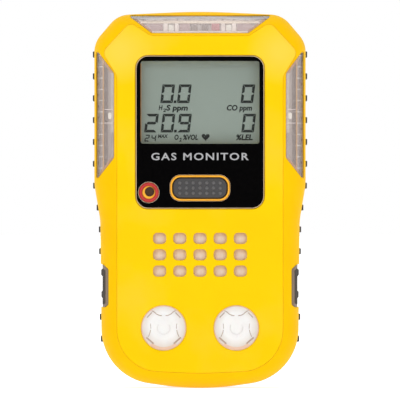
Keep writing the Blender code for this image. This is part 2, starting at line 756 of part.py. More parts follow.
def make_screws():
    made = []
    for place, (x, z) in SCREW_PLACES.items():
        seat, top = SCREW_SEAT + 0.15, SCREW_SEAT + 2.2
        profile = [
            (SCREW_SHANK * 0.7, 9.0),
            (SCREW_SHANK, 9.8),
            (SCREW_SHANK, seat),
            (SCREW_HEAD, seat),
            (SCREW_HEAD, top - 0.4),
            (SCREW_HEAD - 0.4, top),
        ]
        screw = turned(f"rear_screw_{place}", (x, z, 0), "depth", profile, 12)
        socket = turned("socket", (x, z, 0), "depth", [(1.1, top - 1.2), (1.1, top + 1)], 6)
        made.append(cut(screw, socket))
    return made


def make_rear_details():
    back = HOUSING_DEPTH
    label = box("rear_label", (-16.0, 16.0), (16.0, 42.0), (back - 0.4, back - 0.1))
    lens = prism("ir_window", rounded_rectangle((0, 9.8), (8.6, 3.2, 1.4)), back - 3.0, back - 0.1)
    insert_profile = [(1.45, back - 6.0), (1.95, back - 6.0), (1.95, back - 0.1), (1.45, back - 0.1)]
    insert = turned_ring("clip_insert", (0, CLIP_SCREW_Z), insert_profile, 20)
    return [label, lens, insert]


def cheeks(half):
    """The x ranges of two upright sheets whose outer faces are half a width from the middle."""
    return (-half, -half + CLIP_SHEET), (half - CLIP_SHEET, half)


def ear(name, x_range):
    """A round-topped lug around the pivot, drawn out along X, with the pin's hole."""
    arch = [(PIVOT_Z + 3.0 * cos(a), PIVOT_DEPTH + 2.6 * sin(a)) for a in (k * pi / 8 for k in range(9))]
    foot = [(PIVOT_Z - 5.0, CLIP_FACE - 0.6), (PIVOT_Z + 5.0, CLIP_FACE - 0.6)]
    return side_prism(name, foot + arch, x_range)


def make_clip_base():
    low, high = CLIP_Z
    size = (2 * CLIP_HALF_WIDTH, high - low, 3.0)
    plate = rounded_rectangle((0, (low + high) / 2), size)
    base = prism("clip_base", plate, CLIP_FACE - CLIP_SHEET, CLIP_FACE)
    for x_range in cheeks(CLIP_HALF_WIDTH):
        join(base, ear("ear", x_range))
    cut(base, turned("bore", (-12, PIVOT_Z, PIVOT_DEPTH), "x", [(PIN_HOLE, 0), (PIN_HOLE, 24)], 20))
    cut(base, turned("bore", (0, CLIP_SCREW_Z, 0), "depth", [(1.6, 30), (1.6, 36)], 20))
    return base


def strip_profile(line, thickness):
    """The (z, depth) outline of a bent sheet that follows a line, half its thickness to each side."""
    front, back = [], []
    points = [Vector(p) for p in line]
    for i, here in enumerate(points):
        into = (here - points[i - 1]).normalized() if i else None
        out = (points[i + 1] - here).normalized() if i + 1 < len(points) else into
        into = into or out
        side = Vector((-into.y - out.y, into.x + out.x)).normalized()
        reach = thickness / 2 / side.dot(Vector((-into.y, into.x)))
        front.append(here + side * reach)
        back.append(here - side * reach)
    return [(p.x, p.y) for p in front + back[::-1]]


def make_clip_jaw():
    jaw = side_prism("clip_jaw", strip_profile(JAW_LINE, CLIP_SHEET), (-JAW_HALF_WIDTH, JAW_HALF_WIDTH))
    turn = [k * pi / 8 - pi / 2 for k in range(9)]
    cheek = [(PIVOT_Z - 2.2 * sin(a), PIVOT_DEPTH - 2.2 * cos(a)) for a in turn]
    cheek += [(PIVOT_Z - 8.0, 41.2), (PIVOT_Z + 7.0, 41.4)]
    for x_range in cheeks(JAW_HALF_WIDTH):
        join(jaw, side_prism("cheek", cheek, x_range))
    cut(jaw, turned("bore", (-12, PIVOT_Z, PIVOT_DEPTH), "x", [(PIN_HOLE, 0), (PIN_HOLE, 24)], 20))
    pitch = 2 * JAW_HALF_WIDTH / JAW_TEETH
    for k in range(1, JAW_TEETH):
        x = -JAW_HALF_WIDTH + k * pitch
        valley = [(x - 0.9, 50.0), (x + 0.9, 50.0), (x + 0.9, 59.0), (x, 60.6), (x - 0.9, 59.0)]
        cut(jaw, prism("valley", valley, 33.0, 39.0))
    return set_origin(jaw, 0, PIVOT_Z, PIVOT_DEPTH)


def make_clip_spring():
    """A torsion spring round the pin: one leg lies along the base plate, the other under the thumb lever."""
    steps = 8
    total = round(SPRING_TURNS * steps)
    points = [(-SPRING_HALF_WIDTH, 77.0, CLIP_FACE + SPRING_WIRE + 0.15)]
    for k in range(total + 1):
        a = -pi / 2 + 2 * pi * k / steps
        x = -SPRING_HALF_WIDTH + 2 * SPRING_HALF_WIDTH * k / total
        points.append((x, PIVOT_Z + SPRING_RADIUS * cos(a), PIVOT_DEPTH + SPRING_RADIUS * sin(a)))
    points.append((SPRING_HALF_WIDTH, 95.0, 40.9))
    curve = bpy.data.curves.new("clip_spring", "CURVE")
    curve.dimensions = "3D"
    curve.bevel_depth = SPRING_WIRE * MM
    curve.bevel_resolution = 1
    curve.use_fill_caps = True
    line = curve.splines.new("POLY")
    line.points.add(len(points) - 1)
    for point, (x, z, depth) in zip(line.points, points):
        point.co = at(x, z, depth).to_4d()
    spring = bpy.data.objects.new("clip_spring", curve)
    bpy.context.scene.collection.objects.link(spring)
    return spring


def make_clip():
    reach = CLIP_HALF_WIDTH + 0.2
    half_pin = [(PIN_RADIUS, reach), (1.9, reach), (1.9, reach + 0.8)]
    pin = [(radius, -along) for radius, along in reversed(half_pin)] + half_pin
    seat, top = CLIP_FACE + 0.15, CLIP_FACE + 1.7
    profile = [(1.0, 26.2), (1.25, 27.0), (1.25, seat), (2.8, seat), (2.8, seat + 0.8), (1.9, top)]
    screw = turned("clip_screw", (0, CLIP_SCREW_Z, 0), "depth", profile, 16)
    cut(screw, turned("socket", (0, CLIP_SCREW_Z, 0), "depth", [(1.1, top - 1.0), (1.1, top + 1)], 6))
    return [
        make_clip_base(),
        make_clip_jaw(),
        turned("clip_pin", (0, PIVOT_Z, PIVOT_DEPTH), "x", pin, 16),
        make_clip_spring(),
        screw,
    ]


# Finishes: colour, roughness, metallic

FINISHES = {
    "yellow_shell": ((0.98, 0.62, 0.01, 1), 0.38, 0.0),
    "yellow_rubber": ((0.97, 0.55, 0.01, 1), 0.55, 0.0),
    "dark_plastic": ((0.07, 0.065, 0.06, 1), 0.5, 0.0),
    "dark_rubber": ((0.09, 0.08, 0.075, 1), 0.75, 0.0),
    "clear_plastic": ((0.86, 0.84, 0.83, 1), 0.15, 0.0),
    "reflector_silver": ((0.62, 0.6, 0.59, 1), 0.3, 0.6),
    "black_print": ((0.004, 0.004, 0.005, 1), 0.15, 0.0),
    "button_grey": ((0.13, 0.125, 0.125, 1), 0.6, 0.0),
    "warning_red": ((0.5, 0.02, 0.02, 1), 0.4, 0.0),
    "lcd_green": ((0.26, 0.31, 0.27, 1), 0.25, 0.0),
    "membrane": ((0.8, 0.62, 0.48, 1), 0.8, 0.0),
    "screen_white": ((0.9, 0.89, 0.87, 1), 0.55, 0.0),
    "board_green": ((0.02, 0.16, 0.06, 1), 0.45, 0.0),
    "component_black": ((0.03, 0.03, 0.03, 1), 0.5, 0.0),
    "white_plastic": ((0.8, 0.8, 0.78, 1), 0.5, 0.0),
    "steel": ((0.6, 0.6, 0.6, 1), 0.25, 1.0),
    "brass": ((0.8, 0.6, 0.25, 1), 0.3, 1.0),
    "cell_wrap": ((0.05, 0.12, 0.3, 1), 0.4, 0.0),
    "label_film": ((0.55, 0.55, 0.55, 1), 0.5, 0.0),
}
FINISH_OF = {
    "front_shell": "yellow_shell",
    "bumper": "yellow_rubber",
    "rear_shell": "dark_plastic",
    "lens": "clear_plastic",
    "reflector": "reflector_silver",
    "led": "screen_white",
    "grip": "dark_rubber",
    "display_window": "clear_plastic",
    "window_mask": "black_print",
    "window_adhesive": "dark_rubber",
    "sound_port_ring": "warning_red",
    "push_button": "button_grey",
    "switch": "component_black",
    "switch_plunger": "steel",
    "lcd_glass": "lcd_green",
    "lcd_holder": "white_plastic",
    "lcd_contact_strip": "dark_rubber",
    "board": "board_green",
    "board_flex": "brass",
    "buzzer": "component_black",
    "vibration_motor": "steel",
    "vibrator_weight": "steel",
    "membrane": "membrane",
    "gasket": "dark_rubber",
    "main_seal": "dark_rubber",
    "sensor_screen": "screen_white",
    "sensor": "white_plastic",
    "battery_cell": "cell_wrap",
    "battery_tray": "white_plastic",
    "screw": "steel",
    "clip": "steel",
    "clip_insert": "brass",
    "rear_label": "label_film",
    "ir_window": "warning_red",
}


def finish(obj):
    """Gives obj the finish of the longest key that its name contains."""
    key = max((k for k in FINISH_OF if k in obj.name), key=len)
    slot = FINISH_OF[key]
    material = bpy.data.materials.get(slot) or bpy.data.materials.new(slot)
    colour, roughness, metallic = FINISHES[slot]
    material.use_nodes = True
    shader = material.node_tree.nodes["Principled BSDF"]
    shader.inputs["Base Color"].default_value = colour
    shader.inputs["Roughness"].default_value = roughness
    shader.inputs["Metallic"].default_value = metallic
    obj.data.materials.clear()
    obj.data.materials.append(material)
    if obj.type == "MESH":
        obj.data.shade_smooth()
        obj.data.set_sharp_from_angle(angle=radians(30))


def main():
    for obj in list(bpy.data.objects):
        bpy.data.objects.remove(obj)
    pieces = [make_front_shell(), make_bumper(), make_rear_shell(), make_seal()]
    pieces += make_alarm_windows() + make_leds() + make_grips()
    pieces += make_display() + make_button() + make_gas_inlets()
    pieces += make_boards() + make_sounders() + make_cells()
    pieces += make_screws() + make_rear_details() + make_clip()
    for piece in pieces:
        finish(piece)


main()
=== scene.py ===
"""The looks of a portable gas detector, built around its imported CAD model.

Design coordinates are in millimetres: x to the right and z up from the bottom, both as seen from the front,
and depth from the front face towards the back. at() turns them into the frame's metres.
"""

from math import atan, cos, hypot, pi, radians, sin, tan

import bmesh
import bpy
from mathutils import Matrix, Vector


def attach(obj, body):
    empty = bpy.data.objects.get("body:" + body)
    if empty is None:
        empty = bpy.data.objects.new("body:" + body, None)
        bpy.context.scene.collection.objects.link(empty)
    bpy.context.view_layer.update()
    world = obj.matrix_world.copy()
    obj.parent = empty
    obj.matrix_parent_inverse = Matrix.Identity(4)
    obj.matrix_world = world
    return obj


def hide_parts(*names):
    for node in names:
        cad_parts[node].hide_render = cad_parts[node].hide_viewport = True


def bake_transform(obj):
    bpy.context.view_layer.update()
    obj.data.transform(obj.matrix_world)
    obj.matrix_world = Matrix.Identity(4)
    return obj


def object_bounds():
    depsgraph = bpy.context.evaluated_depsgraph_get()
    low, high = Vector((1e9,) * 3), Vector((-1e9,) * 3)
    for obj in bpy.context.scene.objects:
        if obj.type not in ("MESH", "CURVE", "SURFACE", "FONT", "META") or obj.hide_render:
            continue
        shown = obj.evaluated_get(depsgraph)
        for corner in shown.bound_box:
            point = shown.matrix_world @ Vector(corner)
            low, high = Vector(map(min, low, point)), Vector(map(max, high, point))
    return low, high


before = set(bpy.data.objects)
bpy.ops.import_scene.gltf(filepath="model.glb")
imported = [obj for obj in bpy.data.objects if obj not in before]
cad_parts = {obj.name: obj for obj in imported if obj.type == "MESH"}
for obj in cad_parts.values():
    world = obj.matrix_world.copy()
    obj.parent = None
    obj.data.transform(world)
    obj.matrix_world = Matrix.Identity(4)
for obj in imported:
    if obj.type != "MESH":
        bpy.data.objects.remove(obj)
CAD_LOW, CAD_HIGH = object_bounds()

MM = 0.001
Y_FRONT = CAD_LOW.y / MM
Z_BOTTOM = -60.03

# The housing: half outlines from the bottom centre to the top centre, as x, z, fillet radius, fillet steps
SILHOUETTE = [
    (0.0, -0.8, 85.0, 12),
    (31.3, 3.6, 17.6, 16),
    (31.8, 53.5, 20.0, 4),
    (33.7, 64.8, 20.0, 4),
    (33.7, 88.0, 0.0, 4),
    (33.7, 110.2, 8.0, 8),
    (26.2, 119.0, 8.0, 8),
    (16.0, 119.49, 0.0, 4),
    (0.0, 120.25, 200.0, 8),
]
FACE = [
    (0.0, 4.8, 110.0, 12),
    (26.45, 6.0, 13.5, 16),
    (26.45, 53.5, 0.0, 4),
    (26.45, 64.8, 0.0, 4),
    (26.45, 99.4, 4.0, 4),
    (31.1, 107.0, 2.5, 8),
    (22.3, 116.6, 2.5, 8),
    (15.6, 112.3, 2.0, 4),
    (0.0, 112.3, 0.0, 8),
]
EAR = (25.6, 107.2)  # the middle of the face's upper corner
STRAIGHT_SPREAD = 0.5
FLANK_DEPTH = 9.0
FLANK_START = radians(15)
FLANK_ANGLES = [radians(15 + 7.5 * k) for k in range(11)]
FRONT_SHELL_BACK = 15.3
BUMPER_BACK = 16.0
REAR_SHELL_FRONT = 16.3
REAR_CORNER = (0.35, 4.4, 4.6)  # its step in from the bumper, and its round edge's reach and depth
HOUSING_DEPTH = 32.0
BUMPER_SKIN = 1.4
SHELL_SKIN_START = 1.7
SHELL_SKIN_END = 3.2
SEAM_GAP = 0.02
SEAM = (0.4, 0.2)  # how wide and how deep each half of the groove between face and bumper is

# The alarm windows' corners, as x, z, fillet radius
TOP_WINDOW = [(22.7, 118.6, 0.3), (-22.7, 118.6, 0.3), (-15.4, 113.1, 1.2), (15.4, 113.1, 1.2)]
SIDE_WINDOW = [(27.35, 73.4, 2.0), (32.8, 66.6, 0.3), (32.8, 107.6, 0.3), (27.35, 100.4, 2.0)]
WINDOW_REBATE = (0.3, 0.22)  # how far the step round an alarm window reaches out, and how deep it is
LENS_GAP, LENS_SINK = 0.03, 0.12
LENS_SKIN = 0.8
LENS_EDGE = (32.35, 117.5)  # the x and the z beyond which a lens is painted paler: painted light on the strip that the bumper's lip keeps in shade
REFLECTOR_SKIN = (1.5, 2.3)
RIB_PITCH = 3.58
LED_X, LED_Z = 28.75, 86.8
TOP_LED_X, TOP_LED_Z = 9.2, 114.9
LED_SINK = 1.25

WINDOW_CENTRE = (0.0, 81.6)
WINDOW_SIZE = (40.8, 48.6, 4.0)
WINDOW_DEPTH, MASK_DEPTH = (0.5, 1.2), (1.3, 1.5)
POCKET_FLOOR = 2.0
LCD_CENTRE = (0.0, 91.05)
LCD_SIZE = (37.8, 26.3, 0.8)
LCD_FRONT = 3.4
BUTTON_Z = 63.8
BUTTON_SIZE = (17.2, 6.4, 2.6)
COLLAR_OPENING = (17.7, 6.9, 2.8)
COLLAR_OUTSIDE = (18.9, 8.1, 3.2)
COLLAR_FRONT = 0.1
PORT_X, PORT_Z = -16.3, 62.4
PORT_HOLE = (0.27, 0.25, 1.5)  # offset and radius of the hole in the sound port's tube
PORT_TUBE = 2.0
PORT_RING = (2.1, 3.15)

GRILLE_Z = 42.6
GRILLE_PITCH = (6.42, 5.2)
GRILLE_COUNT = (5, 3)
GRILLE_HOLE = (4.1, 3.5, 1.3)
GRILLE_POCKET = (33.0, 18.0, 2.0)
SENSOR_X, SENSOR_Z = 11.56, 19.3
SCREEN_EDGE = 7.18
DISH_EDGE, DISH_SLOPE, DISH_DEPTH = 8.9, 1.5, 0.32  # the dish round a screen: its radius and its slope
DISH_HOLE = 7.2

NUB_TOP, NUB_PITCH, NUB_COUNT, NUB_HEIGHT, NUB_RISE = 106.6, 7.0, 14, 2.1, 0.6
GRIP_INSET, GRIP_FOOT = 0.4, 1.6
GRIP_Z = (13.4, 108.9)
GRIP_DEPTH = (18.0, 27.0)
NOTCH = [(34.0, 40.5), (30.6, 39.3), (29.15, 38.0), (29.15, 26.7), (30.0, 25.9), (34.0, 25.7)]
NOTCH_ROUNDING = 0.7
TONGUE_DEPTH = (3.8, 18.6)
TONGUE_GAP = 0.06
PAD_INSET = (1.0, 0.3)  # how far the dark pad stays inside the tongue, and how far it stands out of it
DOCK_NUBS = (10, 11)
DOCK_INSET = 0.6
DOCK_NUB_SINK = 0.75
DOCK_NUB_RISE = 0.4

SCREW_PLACES = {
    "upper_left": (-25.5, 105.5),
    "upper_right": (25.5, 105.5),
    "middle_left": (-25.8, 50.0),
    "middle_right": (25.8, 50.0),
    "lower_left": (-24.8, 14.0),
    "lower_right": (24.8, 14.0),
}
SCREW_SEAT, SCREW_HEAD = 27.0, 2.4
BOSS_RADIUS, PILOT_RADIUS = 2.8, 1.5

LABEL_CENTRE, LABEL_SIZE = (0, 29.0), (32.0, 26.0, 0.8)
LABEL_PRINT = (HOUSING_DEPTH - 0.12, HOUSING_DEPTH - 0.06)  # how deep the label's print starts and ends
IR_CENTRE = (0, 9.8)
SCORE_Z = (103.0, 105.0, 107.0, 109.0, 111.0)

CLIP_FACE = HOUSING_DEPTH + 1.5
CLIP_SHEET = 1.2
CLIP_HALF_WIDTH = 8.5
CLIP_Z = (49.3, 97.0)
CLIP_SCREW_Z = 53.2
PIVOT_Z, PIVOT_DEPTH = 86.0, 37.2
JAW_HALF_WIDTH = 7.0
JAW_LINE = [(106.4, 45.1), (92.5, 41.4), (68.0, 41.2), (62.6, 39.2), (58.9, 34.4)]
JAW_PLAN_Z, JAW_PLAN_HEIGHT = 82.4, 48.4
RIDGE_Z = (96.5, 98.7, 100.9, 103.1)  # the ridges under the thumb
BAR_Z = (63.0, 67.0, 71.0)  # the bars pressed out of the base
TEETH = 5
SPRING_RADIUS, SPRING_WIRE, SPRING_TURNS, SPRING_HALF_WIDTH = 2.2, 0.35, 4.5, 2.4


# Meshes


def at(x, z, depth):
    return Vector((x * MM, (Y_FRONT + depth) * MM, (Z_BOTTOM + z) * MM))


def design_place(point):
    """A point of the frame as x, z and depth in design coordinates: the inverse of at()."""
    return point.x / MM, point.z / MM - Z_BOTTOM, point.y / MM - Y_FRONT


def quarter(steps):
    """The angles that divide a quarter turn into equal steps."""
    return [pi / 2 * k / steps for k in range(steps + 1)]


def placed(name, data):
    """An object in the scene that shows data: a mesh, a curve, a light or a camera."""
    obj = bpy.data.objects.new(name, data)
    bpy.context.scene.collection.objects.link(obj)
    return obj


def new_object(name, bm):
    bmesh.ops.remove_doubles(bm, verts=bm.verts, dist=0.002 * MM)
    bmesh.ops.recalc_face_normals(bm, faces=bm.faces)
    mesh = bpy.data.meshes.new(name)
    bm.to_mesh(mesh)
    bm.free()
    return placed(name, mesh)


def solid_of_rings(name, rings):
    """A closed solid through rings of points that match one another, capped at both ends."""
    bm = bmesh.new()
    loops = [[bm.verts.new(point) for point in ring] for ring in rings]
    for near, far in zip(loops, loops[1:]):
        for i in range(len(near)):
            j = (i + 1) % len(near)
            bm.faces.new((near[i], near[j], far[j], far[i]))
    bm.faces.new(loops[0])
    bm.faces.new(list(reversed(loops[-1])))
    return new_object(name, bm)


def loft(name, sections):
    return solid_of_rings(name, [[at(x, z, depth) for x, z in outline] for outline, depth in sections])


def prism(name, outline, front, back):
    return loft(name, [(outline, front), (outline, back)])


def box(name, x_range, z_range, depth_range):
    (x0, x1), (z0, z1) = x_range, z_range
    return prism(name, [(x0, z0), (x1, z0), (x1, z1), (x0, z1)], *depth_range)


def side_prism(name, profile, x_range):
    return solid_of_rings(name, [[at(x, z, depth) for z, depth in profile] for x in x_range])


AXES = {
    "depth": (Vector((0, 1, 0)), Vector((1, 0, 0))),
    "x": (Vector((1, 0, 0)), Vector((0, 0, 1))),
    "z": (Vector((0, 0, 1)), Vector((1, 0, 0))),
}


def turned(name, centre, axis, profile, segments=48):
    """A solid of revolution. centre is (x, z, depth) and profile holds (radius, distance along axis)."""
    toward, across = AXES[axis]
    other = toward.cross(across)
    turn = [2 * pi * k / segments for k in range(segments)]
    spokes = [across * cos(a) + other * sin(a) for a in turn]
    middle = at(*centre)
    rings = [
        [middle + (toward * along + spoke * radius) * MM for spoke in spokes] for radius, along in profile
    ]
    return solid_of_rings(name, rings)


def post(place, radius, front, back, segments):
    """A cylinder along the depth axis."""
    return turned("post", (*place, 0), "depth", [(radius, front), (radius, back)], segments)


def turned_ring(name, centre, profile, segments=48):
    """A ring about the depth axis from a closed (radius, depth) profile that stays off the axis."""
    bm = bmesh.new()
    x, z = centre
    loops = []
    for k in range(segments):
        a = 2 * pi * k / segments
        loops.append([bm.verts.new(at(x + r * cos(a), z + r * sin(a), depth)) for r, depth in profile])
    for k in range(segments):
        near, far = loops[k], loops[(k + 1) % segments]
        for i in range(len(profile)):
            j = (i + 1) % len(profile)
            bm.faces.new((near[i], near[j], far[j], far[i]))
    return new_object(name, bm)


def applied(obj):
    bpy.context.view_layer.update()
    graph = bpy.context.evaluated_depsgraph_get()
    mesh = bpy.data.meshes.new_from_object(obj.evaluated_get(graph))
    obj.modifiers.clear()
    old, obj.data = obj.data, mesh
    bpy.data.meshes.remove(old)
    return obj


def combine(obj, operation, *others):
    for other in others:
        modifier = obj.modifiers.new(operation.lower(), "BOOLEAN")
        modifier.operation = operation
        modifier.solver = "EXACT"
        modifier.object = other
        applied(obj)
        bpy.data.objects.remove(other)
    return obj


def cut(obj, *cutters):
    return combine(obj, "DIFFERENCE", *cutters)


def join(obj, *others):
    return combine(obj, "UNION", *others)


def clip_to(obj, other):
    return combine(obj, "INTERSECT", other)


def merged(name, parts):
    """One object that holds several meshes, which stay separate islands."""
    bm = bmesh.new()
    for part in parts:
        bm.from_mesh(part.data)
        bpy.data.objects.remove(part)
    return new_object(name, bm)


# Outlines


def mirrored(half):
    return half + [(-x, z, radius, steps) for x, z, radius, steps in reversed(half[1:-1])]


def mirrored_points(points):
    return [(-x, z) for x, z in reversed(points)]


def directions(corners, i):
    here = Vector(corners[i][:2])
    before = Vector(corners[i - 1][:2])
    after = Vector(corners[(i + 1) % len(corners)][:2])
    return (here - before).normalized(), (after - here).normalized()


def inset(corners, amount):
    """Moves every edge of a counter-clockwise loop inwards, with its fillets kept concentric."""
    moved = []
    for i, (x, z, radius, steps) in enumerate(corners):
        into, out = directions(corners, i)
        inwards_1, inwards_2 = Vector((-into.y, into.x)), Vector((-out.y, out.x))
        shift = (inwards_1 + inwards_2) * (amount / (1 + inwards_1.dot(inwards_2)))
        new_radius = radius - amount if into.cross(out) > 0 else radius + amount
        moved.append((x + shift.x, z + shift.y, max(new_radius, 0.2) if radius else 0.0, steps))
    return moved


def mix(first, second, share):
    return [
        tuple(a + (b - a) * share for a, b in zip(p[:3], q[:3])) + (p[3],)
        for p, q in zip(first, second)
    ]


def outline_of(corners):
    """The points of a loop of corners, with each fillet as an arc."""
    points = []
    for i, (x, z, radius, steps) in enumerate(corners):
        into, out = directions(corners, i)
        here = Vector((x, z))
        angle = into.angle_signed(out)
        bend = abs(angle)
        if bend < radians(1) or radius == 0:
            points += [
                here + (into if s < 0 else out) * (s * STRAIGHT_SPREAD)
                for s in [2 * k / steps - 1 for k in range(steps + 1)]
            ]
            continue
        start = here - into * (radius * tan(bend / 2))
        side = 1 if into.cross(out) > 0 else -1
        centre = start + Vector((-into.y, into.x)) * (side * radius)
        for k in range(steps + 1):
            spoke = start - centre
            spoke.rotate(Matrix.Rotation(side * bend * k / steps, 2))
            points.append(centre + spoke)
    return [(p.x, p.y) for p in points]


def rounded_corners(points, radius, steps=6):
    return [(x, z, radius, steps) for x, z in points]


def rectangle_corners(centre, size, steps=6):
    x, z = centre
    width, height, radius = size
    half = ((-1, -1), (1, -1), (1, 1), (-1, 1))
    return rounded_corners([(x + sx * width / 2, z + sz * height / 2) for sx, sz in half], radius, steps)


def rounded_rectangle(centre, size, steps=6):
    return outline_of(rectangle_corners(centre, size, steps))


def grown(size, amount):
    width, height, radius = size
    return width + 2 * amount, height + 2 * amount, radius + amount


ABOVE = 0.01  # lifts a rounded mouth off the surface that it cuts, so that the two don't just touch


def hole_cutter(corners, surface, mouth, back, steps=5):
    """Cuts a hole into a flat surface. Its mouth is rounded by (reach outwards, depth)."""
    reach, depth = mouth
    sections = [(outline_of(inset(corners, -reach)), surface - 0.5)]
    for a in quarter(steps):
        offset = reach * (1 - sin(a))
        sections.append((outline_of(inset(corners, -offset)), surface - ABOVE + depth * (1 - cos(a))))
    sections.append((outline_of(corners), back))
    return loft("cutter", sections)


def round_hole_cutter(centre, radius, surface, fillet, back, steps=5, segments=48):
    profile = [(radius + fillet, surface - 0.5)]
    for a in quarter(steps):
        profile.append((radius + fillet * (1 - sin(a)), surface - ABOVE + fillet * (1 - cos(a))))
    return turned("cutter", (*centre, 0), "depth", profile + [(radius, back)], segments)


def rounded_prism(name, corners, front, back, edge, steps=4):
    """A plate whose front edge is rounded by (reach inwards, depth)."""
    reach, depth = edge
    sections = [
        (outline_of(inset(corners, reach * (1 - cos(a)))), front + depth * (1 - sin(a)))
        for a in quarter(steps)
    ]
    return loft(name, sections[::-1] + [(outline_of(corners), back)])


def rounded_plate(name, corners, front, back, fillet, steps=4):
    """A plate with both its edges rounded."""
    near = [
        (outline_of(inset(corners, fillet * (1 - sin(a)))), front + fillet * (1 - cos(a)))
        for a in quarter(steps)
    ]
    far = [(outline, front + back - depth) for outline, depth in reversed(near)]
    return loft(name, near + far)


# Housing surfaces


WHOLE_SILHOUETTE = mirrored(SILHOUETTE)
WHOLE_FACE = mirrored(FACE)
RIGHT_EDGE = [(x, z) for x, z in outline_of(WHOLE_SILHOUETTE) if x > 0]


def half_width(z):
    for (x0, z0), (x1, z1) in zip(RIGHT_EDGE, RIGHT_EDGE[1:]):
        if z0 <= z <= z1:
            return x0 + (x1 - x0) * (z - z0) / (z1 - z0)
    return 0.0


def flank(angle):
    share = (sin(angle) - sin(FLANK_START)) / (1 - sin(FLANK_START))
    return share, FLANK_DEPTH * (cos(FLANK_START) - cos(angle)) / cos(FLANK_START)


def front_body(name, skin, back):
    """The housing's front half, every surface moved inwards by skin, closed at the given depth."""
    sections = []
    for angle in FLANK_ANGLES:
        share, depth = flank(angle)
        corners = inset(mix(WHOLE_FACE, WHOLE_SILHOUETTE, share), skin * sin(angle))
        sections.append((outline_of(corners), depth + skin * cos(angle)))
    sections.append((outline_of(inset(WHOLE_SILHOUETTE, skin)), back))
    return loft(name, sections)


def windows(margin):
    """The three alarm windows' outlines by name, moved inwards by margin."""
    left = [(-x, z, radius) for x, z, radius in reversed(SIDE_WINDOW)]
    shapes = {"top": TOP_WINDOW, "right": SIDE_WINDOW, "left": left}
    return {
        side: outline_of(inset([(x, z, radius, 5) for x, z, radius in corners], margin))
        for side, corners in shapes.items()
    }


def window_cutters(margin=0.0):
    return [prism("cutter", outline, -1, 20) for outline in windows(margin).values()]


def notch_cutters(front, back):
    made = []
    for points in (NOTCH, mirrored_points(NOTCH)):
        made.append(prism("cutter", outline_of(rounded_corners(points, NOTCH_ROUNDING, 5)), front, back))
    return made


def grille_places():
    columns, rows = GRILLE_COUNT
    pitch_x, pitch_z = GRILLE_PITCH
    for row in range(rows):
        for column in range(columns):
            yield (column - (columns - 1) / 2) * pitch_x, GRILLE_Z + (row - (rows - 1) / 2) * pitch_z


# Materials


def new_node(tree, kind, inputs, **settings):
    """A node with its inputs' values and its settings."""
    node = tree.nodes.new(kind)
    for key, value in settings.items():
        setattr(node, key, value)
    for key, value in inputs.items():
        node.inputs[key].default_value = value
    return node


class Nodes:
    """A short way to write a material's node tree."""

    def __init__(self, name):
        self.material = bpy.data.materials.new(name)
        self.material.use_nodes = True
        self.tree = self.material.node_tree
        self.shader = self.tree.nodes["Principled BSDF"]
        self.place = self.add("ShaderNodeTexCoord", {}).outputs["Object"]

    def add(self, kind, inputs, **settings):
        return new_node(self.tree, kind, inputs, **settings)

    def link(self, source, target):
        self.tree.links.new(source, target)

    def colour(self, source):
        self.link(source, self.shader.inputs["Base Color"])

    def roughness(self, source):
        self.link(source, self.shader.inputs["Roughness"])

    def noise(self, scale, detail=2.0, stretch=None):
        """Noise whose features are about 1 / scale metres across."""
        node = self.add("ShaderNodeTexNoise", {"Scale": scale, "Detail": detail})
        self.link(self.mapped(Scale=stretch) if stretch else self.place, node.inputs["Vector"])
        return node.outputs["Fac"]

    def mapped(self, **change):
        """The place, scaled or rotated."""
        mapping = self.add("ShaderNodeMapping", change)
        self.link(self.place, mapping.inputs["Vector"])
        return mapping.outputs["Vector"]

    def ramp(self, source, low, high, start=0.3, end=0.7):
        """source turned into colours from low to high."""
        node = self.add("ShaderNodeValToRGB", {})
        first, last = node.color_ramp.elements
        first.position, first.color = start, (*low, 1)
        last.position, last.color = end, (*high, 1)
        self.link(source, node.inputs["Fac"])
        return node.outputs["Color"]

    def scaled(self, source, low, high, start=0.0, end=1.0):
        limits = {"From Min": start, "From Max": end, "To Min": low, "To Max": high}
        node = self.add("ShaderNodeMapRange", limits)
        self.link(source, node.inputs["Value"])
        return node.outputs["Result"]

    def vector(self, operation, source, constant=None, output="Vector"):
        node = self.add("ShaderNodeVectorMath", {1: constant} if constant else {}, operation=operation)
        self.link(source, node.inputs[0])
        return node.outputs[output]

    def distance_from(self, x, z):
        """How far a point is, seen from the front, from a place or from its mirror image."""
        lift = Vector((0, 0, 1))  # keeps z positive, so that only x is folded
        folded = self.vector("ABSOLUTE", self.vector("ADD", self.place, lift))
        apart = self.vector("SUBTRACT", folded, at(x, z, 0) + lift)
        return self.vector("LENGTH", self.vector("MULTIPLY", apart, (1, 0, 1)), output="Value")

    def bump(self, source, height):
        """Adds bump, with height in metres, on top of any bump already there."""
        node = self.add("ShaderNodeBump", {"Distance": height})
        self.link(source, node.inputs["Height"])
        old = self.shader.inputs["Normal"]
        if old.is_linked:
            self.link(old.links[0].from_socket, node.inputs["Normal"])
        self.link(node.outputs["Normal"], old)

    def mixed(self, share, first, second):
        """first turned into second, either of which may be a fixed colour, by share."""
        mixer = self.add("ShaderNodeMix", {}, data_type="RGBA")
        self.link(share, mixer.inputs["Factor"])
        for colour, socket in ((first, mixer.inputs["A"]), (second, mixer.inputs["B"])):
            if isinstance(colour, tuple):
                socket.default_value = (*colour, 1)
            else:
                self.link(colour, socket)
        return mixer.outputs["Result"]

    def worn_edges(self, colour, edge, radius=0.0003):
        """colour, a little paler where the surface turns sharply, as handling leaves it."""
        softened = self.add("ShaderNodeBevel", {"Radius": radius}, samples=4)
        geometry = self.add("ShaderNodeNewGeometry", {})
        alike = self.add("ShaderNodeVectorMath", {}, operation="DOT_PRODUCT")
        self.link(softened.outputs["Normal"], alike.inputs[0])
        self.link(geometry.outputs["Normal"], alike.inputs[1])
        return self.mixed(self.scaled(alike.outputs["Value"], 0.0, 0.5, 0.99, 0.8), colour, edge)

    def set(self, **values):
        for name, value in values.items():
            self.shader.inputs[name.replace("_", " ")].default_value = value


